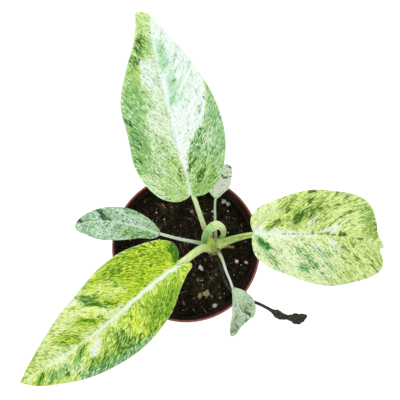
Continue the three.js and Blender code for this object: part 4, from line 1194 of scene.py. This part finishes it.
# Plain stuffs: two tones, the size of their cloudy pattern in millimetres, the values of it where
# the second tone starts and is full, the roughness, and the strength of the relief
STUFFS = {
    # Glassy rock popped by heat: a chalky white froth with greyish pits
    "perlite_expanded": ("#f1efe6", "#c9c4b6", 1.0, 0.4, 0.6, 0.9, 0.5),
    # Dead roots: dull tan threads with brown spots
    "dead_root_fibres": ("#9a8569", "#54422f", 6, 0.4, 0.6, 0.85, 0.2),
    # Corky skin of a stem: pale green, weathered to olive brown
    "stem_skin_corky": ("#bcc088", "#625f38", 3, 0.4, 0.6, 0.6, 0.3),
    # A dried root: straw-coloured, wrinkled and matt
    "root_stub_dry": ("#b3a57f", "#7c6c4c", 1.5, 0.4, 0.6, 0.85, 0.4),
    # A shrivelled leaf: nearly black, with dull brown as a painted highlight on its folds
    "dead_leaf_shrivelled": ("#150d0a", "#4e4038", 2.0, 0.45, 0.72, 0.7, 0.6),
}


def plain_stuff(name):
    """Two tones of one natural stuff in a cloudy pattern, with a relief from the same pattern."""
    first, second, size_mm, start, full, roughness, strength = STUFFS[name]
    material, tree = new_material(name)
    cloud = object_noise(tree, size_mm, 4)
    skin = lay_coats(tree, linear(first), (cloud, start, full, 1, linear(second)))
    close_material(tree, {"Base Color": skin, "Roughness": roughness}, cloud, strength, 0.4)
    return material


def moulded_plastic(settings):
    """Injection-moulded polypropylene: a soft sheen, a fine grain, a paler rim top that is partly
    scuffs and partly a painted highlight, and an inner wall of painted shade, nearly black lower down
    with soil dirt and painted shade."""
    material, tree = new_material("polypropylene_moulded")
    where = add_node(tree, "TexCoord", out="Object")
    height = add_node(tree, "SeparateXYZ", {"Vector": where}, out="Z")
    inside = add_node(tree, "Attribute", out="Fac", attribute_name="inside")
    cloud = object_noise(tree, 6)
    # A patchy mask for the rim's paler top, partly scuffs and partly a painted highlight
    wear_and_highlight_cut = {"Value": cloud, "From Min": 0.25, "From Max": 0.6, "To Max": 0.95}
    scuff_and_highlight_mask = add_node(tree, "MapRange", wear_and_highlight_cut)
    # A ragged line on the inner wall: below it, soil dirt and painted shade darken the wall to nearly
    # black
    ragged = {0: cloud, 1: 9 * MM, 2: height}
    stain_and_shade_line = add_node(tree, "Math", ragged, operation="MULTIPLY_ADD")
    top = settings.height
    # The inner wall: painted shade, deep red by the rim and nearly black lower down
    wall = lay_coats(
        tree, settings.inside, (stain_and_shade_line, top - 1.5 * MM, top - 5 * MM, 1, settings.soil_stain_and_shade)
    )
    skin = lay_coats(
        tree,
        settings.plastic,
        # Inner faces above 60 mm take the inner wall's painted shade
        (height, 60 * MM, 75 * MM, inside, wall),
        # The rim's paler top: partly scuffs and partly a painted highlight
        (height, top - 1.6 * MM, top - 0.5 * MM, scuff_and_highlight_mask, settings.lip_scuffs_and_highlight),
    )
    # The real grain is too fine to show, so it is drawn 0.8 mm across.
    plastic = {"Base Color": skin, "Roughness": 0.48, "IOR": 1.49}
    close_material(tree, plastic, object_noise(tree, 0.8), 0.08, 0.2)
    return material


def potting_soil(settings):
    """Damp peat mix: nearly black, matt, with drier brown crumbs and a thin olive film. The nearly
    black base is damp peat as it looks in shadow, so it is partly painted shade.
    """
    material, tree = new_material("peat_soil_damp")
    skin = lay_coats(
        tree,
        settings.peat,
        (object_noise(tree, 1.4, 4), 0.46, 0.72, 1, settings.peat_dry),
        (object_noise(tree, 14), 0.5, 0.7, 0.7, settings.moss),
    )
    where = add_node(tree, "TexCoord", out="Object")
    # Crumbs 1.6 mm across
    crumbly = add_node(tree, "TexVoronoi", {"Vector": where, "Scale": 1 / (1.6 * MM)}, feature="F1")
    damp = {"Base Color": skin, "Roughness": 0.95, "Specular IOR Level": 0.15}
    close_material(tree, damp, crumbly, 0.7, 0.8)
    return material


def crumb_material(settings):
    """Loose peat crumbs: each has its own tone, from black peat to tan bark dust."""
    material, tree = new_material("peat_crumbs_mixed")
    tone = add_node(tree, "Attribute", out="Fac", attribute_name="tone")
    skin = lay_coats(
        tree,
        settings.peat,
        (tone, 0, 1, 1, settings.peat_dry),
        (tone, 0.8, 1, 1, linear("#8b7860")),
    )
    crumbly = {"Base Color": skin, "Roughness": 0.95, "Specular IOR Level": 0.15}
    close_material(tree, crumbly, object_noise(tree, 0.7), 0.5, 0.4)
    return material


def bark_material():
    """Composted bark: tan to brown chips with fibres along the grain."""
    material, tree = new_material("bark_chips_composted")
    tone = add_node(tree, "Attribute", out="Fac", attribute_name="tone")
    # Fibres 1.2 mm long and a third as wide
    fibres = object_noise(tree, 1.2, 4, (1, 3, 1))
    level = add_node(tree, "Math", {0: tone, 1: fibres}, operation="MULTIPLY")
    skin = lay_coats(tree, linear("#24170e"), (level, 0.1, 0.6, 1, linear("#c0a888")))
    close_material(tree, {"Base Color": skin, "Roughness": 0.9}, fibres, 0.5, 0.4)
    return material


# Soil


def wall_radius(z):
    """The inner radius of the pot's wall below its rim band, in millimetres."""
    (low, foot), (high, top) = WALL_LINE
    return foot + (top - foot) * (z - low) / (high - low)


def soil_height(x, y, settings):
    """The smooth height of the soil, in millimetres."""
    radius = np.hypot(x, y)
    turn = np.arctan2(y, x) - LOW_SIDE
    hollow = settings.hollow / MM * (radius / 60) ** 2 * (0.5 + 0.5 * np.cos(turn)) ** 2
    from_stem = np.hypot(x - STEM_X, y - STEM_Y)
    mound = settings.mound / MM * np.exp(-((from_stem / 15) ** 2))
    # Low waves, 10 to 12 mm long
    waves = np.sin(0.61 * x + 1.1 * np.sin(0.37 * y)) * np.cos(0.53 * y - 0.8 * np.sin(0.29 * x))
    return settings.level / MM - hollow + mound + 0.9 * waves


def soil_crumble(x, y):
    """Lumps and grains on the soil, in millimetres: each kind has its size and height."""
    out = 0
    for size, height in ((9, 1.5), (4, 1.2), (1.8, 0.9)):
        out += height * noise.noise(Vector((x / size, y / size, size)))
    return out


def ground(x, y, settings):
    """The height of the soil and its lumps at one point, in millimetres."""
    return float(soil_height(np.array(x), np.array(y), settings)) + soil_crumble(x, y)


def seed_stone(name, subdivisions, lumpiness, seed):
    """A small lumpy stone one unit across, to copy."""
    deselect()
    bpy.ops.mesh.primitive_ico_sphere_add(subdivisions=subdivisions, radius=1)
    stone = name_piece(name)
    for vertex in stone.data.vertices:
        vertex.co *= 1 + lumpiness * noise.noise(vertex.co * 1.7 + Vector((seed, 0, 0)))
    return stone


def scatter(name, source, places, tones):
    """Copies of a small mesh as one piece. Each place is a 4 by 4 matrix, and each tone a float."""
    mesh = source.data
    corner = mesh_points(mesh)
    faces = np.array([list(f.vertices) for f in mesh.polygons])
    matrices = np.array([np.array(m) for m in places])
    points = np.einsum("nij,vj->nvi", matrices[:, :3, :3], corner) + matrices[:, None, :3, 3]
    faces = faces[None] + (np.arange(len(places)) * len(corner))[:, None, None]
    piece = mesh_piece(name, points.reshape(-1, 3), faces.reshape(-1, faces.shape[2]).tolist())
    layer = piece.data.attributes.new("tone", "FLOAT", "POINT")
    layer.data.foreach_set("value", np.repeat(np.array(tones, np.float32), len(corner)))
    bpy.data.objects.remove(source)
    return piece


def thread_piece(name, lines, radii):
    """Threads as one piece: each is a closed tube along its line, drawn in at both ends."""
    sides = 5
    points, faces = [], []
    for line, radius in zip(lines, radii):
        dense, _ = curve_through(line, 5)
        ahead = unit(np.gradient(dense, axis=0))
        side = unit(np.cross(ahead, [0, 0, 1.0]))
        up = np.cross(side, ahead)
        start, last = len(points), len(dense) - 1
        for i, centre in enumerate(dense):
            size = radius * (0.3 if i in (0, last) else 1)
            for k in range(sides):
                turn = TURN * k / sides
                points.append(centre + size * (math.cos(turn) * side[i] + math.sin(turn) * up[i]))
        for i in range(last):
            for k in range(sides):
                a, b = (start + i * sides + j % sides for j in (k, k + 1))
                faces.append((a, a + sides, b + sides, b))
        faces.append(tuple(range(start, start + sides)))
        faces.append(tuple(reversed(range(start + last * sides, start + (last + 1) * sides))))
    piece = mesh_piece(name, np.array(points) * MM, faces)
    merge_doubles(piece, 1e-7)
    turn_outward()
    bpy.ops.object.shade_smooth()
    return piece


# Operators, in the order they run


class PLANT_OT_pot(bpy.types.Operator):
    """Turn the nursery pot, cut its drain holes and round its edges"""

    bl_idname = "plant.pot"
    bl_label = "Pot"

    def execute(self, context):
        s = context.scene.plant_pot
        step = s.height - s.rim_band
        wall, rim, foot, pad = s.wall, s.rim_radius, s.foot_radius, s.pad_radius
        # Radius and height, from the pad of the underside up the outside and down the inside
        profile = [
            (pad, 0),
            (pad + 1 * MM, s.under_step),
            (foot - 5 * MM, s.under_step),
            (foot - 4 * MM, 0),
            (foot, 0),
            (rim - 3 * MM, step - 1 * MM),
            (rim - 1.2 * MM, step),
            (rim, s.height - 1 * MM),
            (rim - 0.4 * MM, s.height),
            (rim - wall, s.height),
            (rim - 1.2 * MM - wall, step + 1.5 * MM),
            (rim - 3 * MM - wall, step - 0.5 * MM),
            (foot - wall + 0.3 * MM, s.under_step + wall),
            (pad - 0.2 * MM, s.under_step + wall),
            (pad - 1 * MM, wall),
        ]
        deselect()
        bpy.ops.mesh.primitive_circle_add(vertices=160, radius=pad, fill_type="TRIFAN")
        pot = name_piece("pot_turned")
        select_border()
        for (r0, z0), (r1, z1) in zip(profile, profile[1:]):
            bpy.ops.mesh.extrude_region_move(TRANSFORM_OT_translate={"value": (0, 0, z1 - z0)})
            bpy.ops.transform.resize(value=(r1 / r0, r1 / r0, 1), center_override=(0, 0, 0))
        bpy.ops.mesh.edge_face_add()
        bpy.ops.mesh.poke()
        turn_outward()
        drills = []
        for i in range(s.drain_holes):
            turn = TURN * (i + 0.5) / s.drain_holes
            x, y = s.drain_circle * math.cos(turn), s.drain_circle * math.sin(turn)
            deselect()
            bpy.ops.mesh.primitive_cylinder_add(
                vertices=32, radius=s.drain_radius, depth=14 * MM, location=(x, y, s.under_step)
            )
            drills.append(name_piece(f"drill_{i}"))
        deselect()
        for drill in drills:
            drill.select_set(True)
        context.view_layer.objects.active = drills[0]
        bpy.ops.object.join()
        cutter = context.object
        bpy.ops.object.transform_apply(location=True, rotation=True, scale=True)
        apply_modifier(pot, "BOOLEAN", operation="DIFFERENCE", object=cutter, solver="EXACT")
        bpy.data.objects.remove(cutter)
        edges = {"limit_method": "ANGLE", "angle_limit": math.radians(28)}
        apply_modifier(pot, "BEVEL", width=0.35 * MM, segments=3, **edges)
        pick(pot)
        bpy.ops.object.shade_smooth_by_angle(angle=math.radians(35))
        # The faces that look at the pot's axis, for the painted shade and soil dirt on its inner wall
        looks_in = [
            float(f.normal.xy.dot(f.center.xy) < -0.5 * f.center.xy.length)
            for f in pot.data.polygons
        ]
        pot.data.attributes.new("inside", "FLOAT", "FACE").data.foreach_set("value", looks_in)
        finish_piece(pot, [moulded_plastic(s)], ["pot"])
        return {"FINISHED"}


class PLANT_OT_soil(bpy.types.Operator):
    """Fill the pot with lumpy soil"""

    bl_idname = "plant.soil"
    bl_label = "Soil"

    def execute(self, context):
        s = context.scene.plant_soil
        # A square grid pressed into a disc that reaches half a millimetre into the wall
        cells, deep = 170, 30
        side = np.linspace(-1, 1, cells + 1)
        gx, gy = np.meshgrid(side, side)
        dx = gx * np.sqrt(1 - gy**2 / 2)
        dy = gy * np.sqrt(1 - gx**2 / 2)
        edge = wall_radius(s.level / MM) + 0.5
        x, y = dx * edge, dy * edge
        crumble = np.vectorize(soil_crumble)(x, y)
        z = soil_height(x, y, s) + crumble * np.clip((edge - np.hypot(x, y)) / 3 + 0.4, 0, 1)
        uv = np.stack([dx / 2 + 0.5, dy / 2 + 0.5], -1)
        soil = grid_piece("soil_bed", np.stack([x, y, z], -1) * MM, uv)
        pick(soil)
        select_border()
        bpy.ops.mesh.extrude_region_move(TRANSFORM_OT_translate={"value": (0, 0, -deep * MM)})
        low = wall_radius(s.level / MM - deep) / edge
        bpy.ops.transform.resize(value=(low, low, 1), center_override=(0, 0, 0))
        bpy.ops.mesh.edge_face_add()
        turn_outward()
        bpy.ops.object.shade_smooth()
        finish_piece(soil, [potting_soil(s)], ["soil"])
        return {"FINISHED"}


class PLANT_OT_soil_bits(bpy.types.Operator):
    """Strew crumbs, perlite, bark and dead roots over the soil"""

    bl_idname = "plant.soil_bits"
    bl_label = "Crumbs, perlite and bark"

    def execute(self, context):
        s = context.scene.plant_soil
        draw = random.Random(11)

        def anywhere(limit):
            radius = limit * math.sqrt(draw.random())
            turn = draw.uniform(0, TURN)
            return radius * math.cos(turn), radius * math.sin(turn)

        def laid(x, y, sizes, raised):
            """Where a stone of these half sizes lies on the soil, turned and tilted at random."""
            z = ground(x, y, s) + sizes[2] * raised
            turn = Matrix.Rotation(draw.uniform(0, TURN), 4, "Z")
            turn = turn @ Matrix.Rotation(draw.uniform(-0.5, 0.5), 4, "X")
            size = Matrix.Diagonal((*[v * MM for v in sizes], 1))
            return Matrix.Translation((x * MM, y * MM, z * MM)) @ turn @ size

        places, tones = [], []
        for _ in range(s.crumbs):
            x, y = anywhere(SPREAD["crumbs"])
            size = 0.5 + 1.7 * draw.random() ** 2.2
            sizes = (size, size * draw.uniform(0.6, 1), size * draw.uniform(0.5, 0.8))
            places.append(laid(x, y, sizes, 0.2))
            tones.append(draw.random() ** 1.6 * 0.95 + (0.25 if draw.random() < 0.05 else 0))
        crumbs = scatter("soil_crumbs", seed_stone("crumb", 1, 0.5, 3), places, tones)
        finish_piece(crumbs, [crumb_material(s)])

        perlite, bark = [], []
        for x, y, *sizes, kind in GRAINS:
            (bark if kind == "bark" else perlite).append(laid(x, y, sizes, 0.4))
        for _ in range(s.perlite):
            x, y = anywhere(SPREAD["perlite"])
            size = draw.uniform(0.35, 0.75)
            perlite.append(laid(x, y, (size, size * 0.9, size * 0.8), 0.4))
        grain = seed_stone("grain", 2, 0.55, 8)
        stones = scatter("perlite_grains", grain, perlite, [1] * len(perlite))
        pick(stones)
        bpy.ops.object.shade_smooth()
        finish_piece(stones, [plain_stuff("perlite_expanded")])

        large = len(bark)
        for _ in range(s.bark):
            x, y = anywhere(SPREAD["bark"])
            # None lies on the foot of the stem.
            if math.hypot(x - STEM_X, y) < 9:
                continue
            size = draw.uniform(0.9, 2.2)
            bark.append(laid(x, y, (size, size * draw.uniform(0.3, 0.6), size * 0.3), 0.5))
        tones = [1.0] * large + [0.7 * draw.random() for _ in bark[large:]]
        chips = scatter("bark_chips", seed_stone("chip", 2, 0.7, 5), bark, tones)
        finish_piece(chips, [bark_material()])

        strands = list(LONG_FIBRES)
        for _ in range(s.fibres):
            x, y = anywhere(SPREAD["fibres"])
            turn = draw.uniform(0, TURN)
            reach = draw.uniform(4, 12)
            end = turn + draw.uniform(-0.5, 0.5)
            half = (x + reach / 2 * math.cos(turn), y + reach / 2 * math.sin(turn))
            strands.append([
                (x, y, -0.3),
                (*half, draw.uniform(0.3, 1.6)),
                (x + reach * math.cos(end), y + reach * math.sin(end), -0.3),
            ])
        lines = [[(x, y, ground(x, y, s) + up + 0.4) for x, y, up in way] for way in strands]
        roots = thread_piece("root_fibres", lines, [draw.uniform(0.14, 0.28) for _ in lines])
        finish_piece(roots, [plain_stuff("dead_root_fibres")])
        return {"FINISHED"}


class PLANT_OT_blades(bpy.types.Operator):
    """Model the six leaf blades with their veins and variegation"""

    bl_idname = "plant.blades"
    bl_label = "Leaf blades"

    def execute(self, context):
        sizes = context.scene.plant_sizes
        lower = blade_underside(sizes)
        for seed, (name, leaf) in enumerate(LEAVES.items()):
            colours = getattr(context.scene, f"plant_{name}")
            grain, drag = MARKS[name]["grain"], MARKS[name]["drag"]
            upper = variegated_blade(f"{name}_waxy_skin", colours, seed, grain, drag)
            build_blade(name, leaf, sizes, [upper, lower])
        return {"FINISHED"}


class PLANT_OT_stalks(bpy.types.Operator):
    """Model the six leaf stalks"""

    bl_idname = "plant.stalks"
    bl_label = "Leaf stalks"

    def execute(self, context):
        bluish = stalk_skin("small_stalk_juicy_pale", "#dceade", "#b0ccb0", 0.6)
        mottled = ("#b0cc5e", "#66902a", 1)
        skins = {
            # The back stalk has one pale line on its top, a painted highlight
            "leaf_back": stalk_skin("back_stalk_juicy_green", "#e2f0b8", "#acc66c", 0.8, 0),
            "leaf_right": stalk_skin("right_stalk_mottled_green", *mottled, foot="#cce494"),
            "leaf_front": stalk_skin("front_stalk_juicy_lime", "#e4f2a0", "#b6d270", 0.75),
        }
        for name, leaf in LEAVES.items():
            build_stalk(name, leaf, skins.get(name, bluish))
        return {"FINISHED"}


class PLANT_OT_stem(bpy.types.Operator):
    """Model the stem with its leaf scars and the dried root stub"""

    bl_idname = "plant.stem"
    bl_label = "Stem"

    def execute(self, context):
        def size(share):
            crown = np.sqrt(np.maximum(0.12, 1 - np.maximum(0, (share - 0.86) / 0.15) ** 2))
            scars = sum(0.5 * np.exp(-(((share - at) / 0.018) ** 2)) for at in SCAR_LEVELS)
            return (STEM_RADIUS - 0.4 + scars) * crown

        def knobs(share, angle):
            return 1 + 0.04 * np.sin(3 * angle + 9 * share) + 0.03 * np.sin(5 * angle - 31 * share)

        def taper(share):
            return 1.3 * (1 - 0.25 * share) * (1 + 0.12 * np.sin(19 * share))

        stem = tube_piece("stem_skin", STEM_PATH, size, size, 48, 110, knobs)
        finish_piece(stem, [plain_stuff("stem_skin_corky")], ["stem"])
        stub = tube_piece("root_stub_skin", ROOT_STUB_PATH, taper, taper, 16, 30)
        finish_piece(stub, [plain_stuff("root_stub_dry")], ["root_stub"])
        return {"FINISHED"}


class PLANT_OT_new_leaf(bpy.types.Operator):
    """Model the rolled new leaf and the sheath it leaves"""

    bl_idname = "plant.new_leaf"
    bl_label = "Rolled new leaf"

    def execute(self, context):
        def seam(share, angle):
            # The outer edge of the roll stands a little proud of the turn below it.
            step = np.clip((np.mod(angle - 1.9, TURN)) / TURN, 0, 1)
            return 0.93 + 0.14 * step * np.clip(share * 6, 0, 1) * np.clip((1 - share) * 6, 0, 1)

        def channel(share, angle):
            return 1 - 0.22 * np.exp(-(((angle - TURN / 4) / 0.5) ** 2)) + 0 * share

        roll = (NEW_LEAF_PATH, NEW_LEAF_WIDTH, NEW_LEAF_DEPTH)
        leaf = tube_piece("new_leaf_roll", *roll, 64, 110, seam, level=True)
        finish_piece(leaf, [new_leaf_skin()], ["new_leaf"])
        lump = (SHEATH_PATH, SHEATH_WIDTH, SHEATH_DEPTH)
        sheath = tube_piece("crown_sheath", *lump, 28, 40, channel)
        # The sheath's dark foot tone is painted shade low in the crown
        skin = stalk_skin("sheath_juicy_lime", "#ccdc6c", "#8ca82e", 0.9, 0.2, "#66722c")
        finish_piece(sheath, [skin])
        return {"FINISHED"}


class PLANT_OT_dead_leaf(bpy.types.Operator):
    """Model the dried leaf that lies over the rim"""

    bl_idname = "plant.dead_leaf"
    bl_label = "Dead leaf"

    def execute(self, context):
        def depth(share):
            width = along(DEAD_LEAF_WIDTH, share)
            return np.maximum(0.6, width * along(DEAD_LEAF_FLATNESS, share))

        def wrinkles(share, angle):
            amount = np.clip((share - 0.6) * 5, 0.25, 1)
            folds = 0.16 * np.sin(3 * angle + 60 * share) + 0.1 * np.sin(7 * angle - 90 * share)
            fine = 0.05 * np.sin(11 * angle + 240 * share)
            return 1 + amount * (folds + fine)

        husk = (DEAD_LEAF_PATH, DEAD_LEAF_WIDTH, depth)
        leaf = tube_piece("dead_leaf_skin", *husk, 40, 260, wrinkles, twist=5)
        finish_piece(leaf, [plain_stuff("dead_leaf_shrivelled")], ["dead_leaf"])
        return {"FINISHED"}


class PLANT_OT_stage(bpy.types.Operator):
    """Lay the pale floor, light it softly and set up the camera"""

    bl_idname = "plant.stage"
    bl_label = "Stage, lights and camera"

    def execute(self, context):
        deselect()
        bpy.ops.mesh.primitive_plane_add(size=FLOOR_SIZE)
        floor = name_piece("floor")
        # Matt white paper. Its faint glow keeps it as even a white as a lit backdrop.
        material, tree = new_material("floor_matt_paper")
        glow = {"Emission Color": (1, 1, 1, 1), "Emission Strength": 0.6}
        close_material(tree, {"Base Color": linear("#f4f4f4"), "Roughness": 0.9, **glow})
        floor.data.materials.append(material)

        world = bpy.data.worlds.new("soft_white_room")
        world.use_nodes = True
        room = world.node_tree.nodes["Background"].inputs
        room["Color"].default_value = (1, 1, 1, 1)
        room["Strength"].default_value = 0.76
        context.scene.world = world

        deselect()
        bpy.ops.object.light_add(type="AREA", location=LIGHT_PLACE)
        key = context.object
        key.name = "softbox"
        key.data.shape = "DISK"
        key.data.size = 0.9
        key.data.energy = 7
        key.rotation_euler = (LIGHT_AIM - key.location).to_track_quat("-Z", "Y").to_euler()

        data = bpy.data.cameras.new("camera")
        data.lens = LENS
        data.sensor_width = SENSOR_WIDTH
        data.clip_start = 0.01
        camera = bpy.data.objects.new("camera", data)
        context.collection.objects.link(camera)
        ahead = CAMERA_AHEAD.normalized()
        right = ahead.cross(Vector((0, 1, 0))).normalized()
        up = right.cross(ahead)
        turn = Matrix((right, up, -ahead)).transposed().to_4x4()
        camera.matrix_world = Matrix.Translation(CAMERA_PLACE) @ turn
        context.scene.camera = camera
        context.scene.view_settings.view_transform = "Standard"
        return {"FINISHED"}


STEPS = (
    PLANT_OT_pot,
    PLANT_OT_soil,
    PLANT_OT_soil_bits,
    PLANT_OT_stem,
    PLANT_OT_stalks,
    PLANT_OT_blades,
    PLANT_OT_new_leaf,
    PLANT_OT_dead_leaf,
    PLANT_OT_stage,
)


class PLANT_PT_panel(bpy.types.Panel):
    """The plant's steps and settings"""

    bl_label = "Potted philodendron"
    bl_idname = "PLANT_PT_panel"
    bl_space_type = "VIEW_3D"
    bl_region_type = "UI"
    bl_category = "Plant"

    def draw(self, context):
        for step in STEPS:
            self.layout.operator(step.bl_idname)
        for key, group in GROUPS.items():
            box = self.layout.box()
            settings = getattr(context.scene, key)
            for name in group.__annotations__:
                box.prop(settings, name)


def register():
    """Registers the classes and puts the settings on the scene."""
    for kind in (*GROUPS.values(), *STEPS, PLANT_PT_panel):
        bpy.utils.register_class(kind)
    for key, group in GROUPS.items():
        setattr(bpy.types.Scene, key, PointerProperty(type=group))


def unregister():
    """Takes the settings and the classes away again."""
    for key in GROUPS:
        delattr(bpy.types.Scene, key)
    for kind in (PLANT_PT_panel, *reversed(STEPS), *reversed(list(GROUPS.values()))):
        bpy.utils.unregister_class(kind)


def main():
    register()
    for step in STEPS:
        area, action = step.bl_idname.split(".")
        getattr(getattr(bpy.ops, area), action)()


if __name__ == "__main__":
    main()
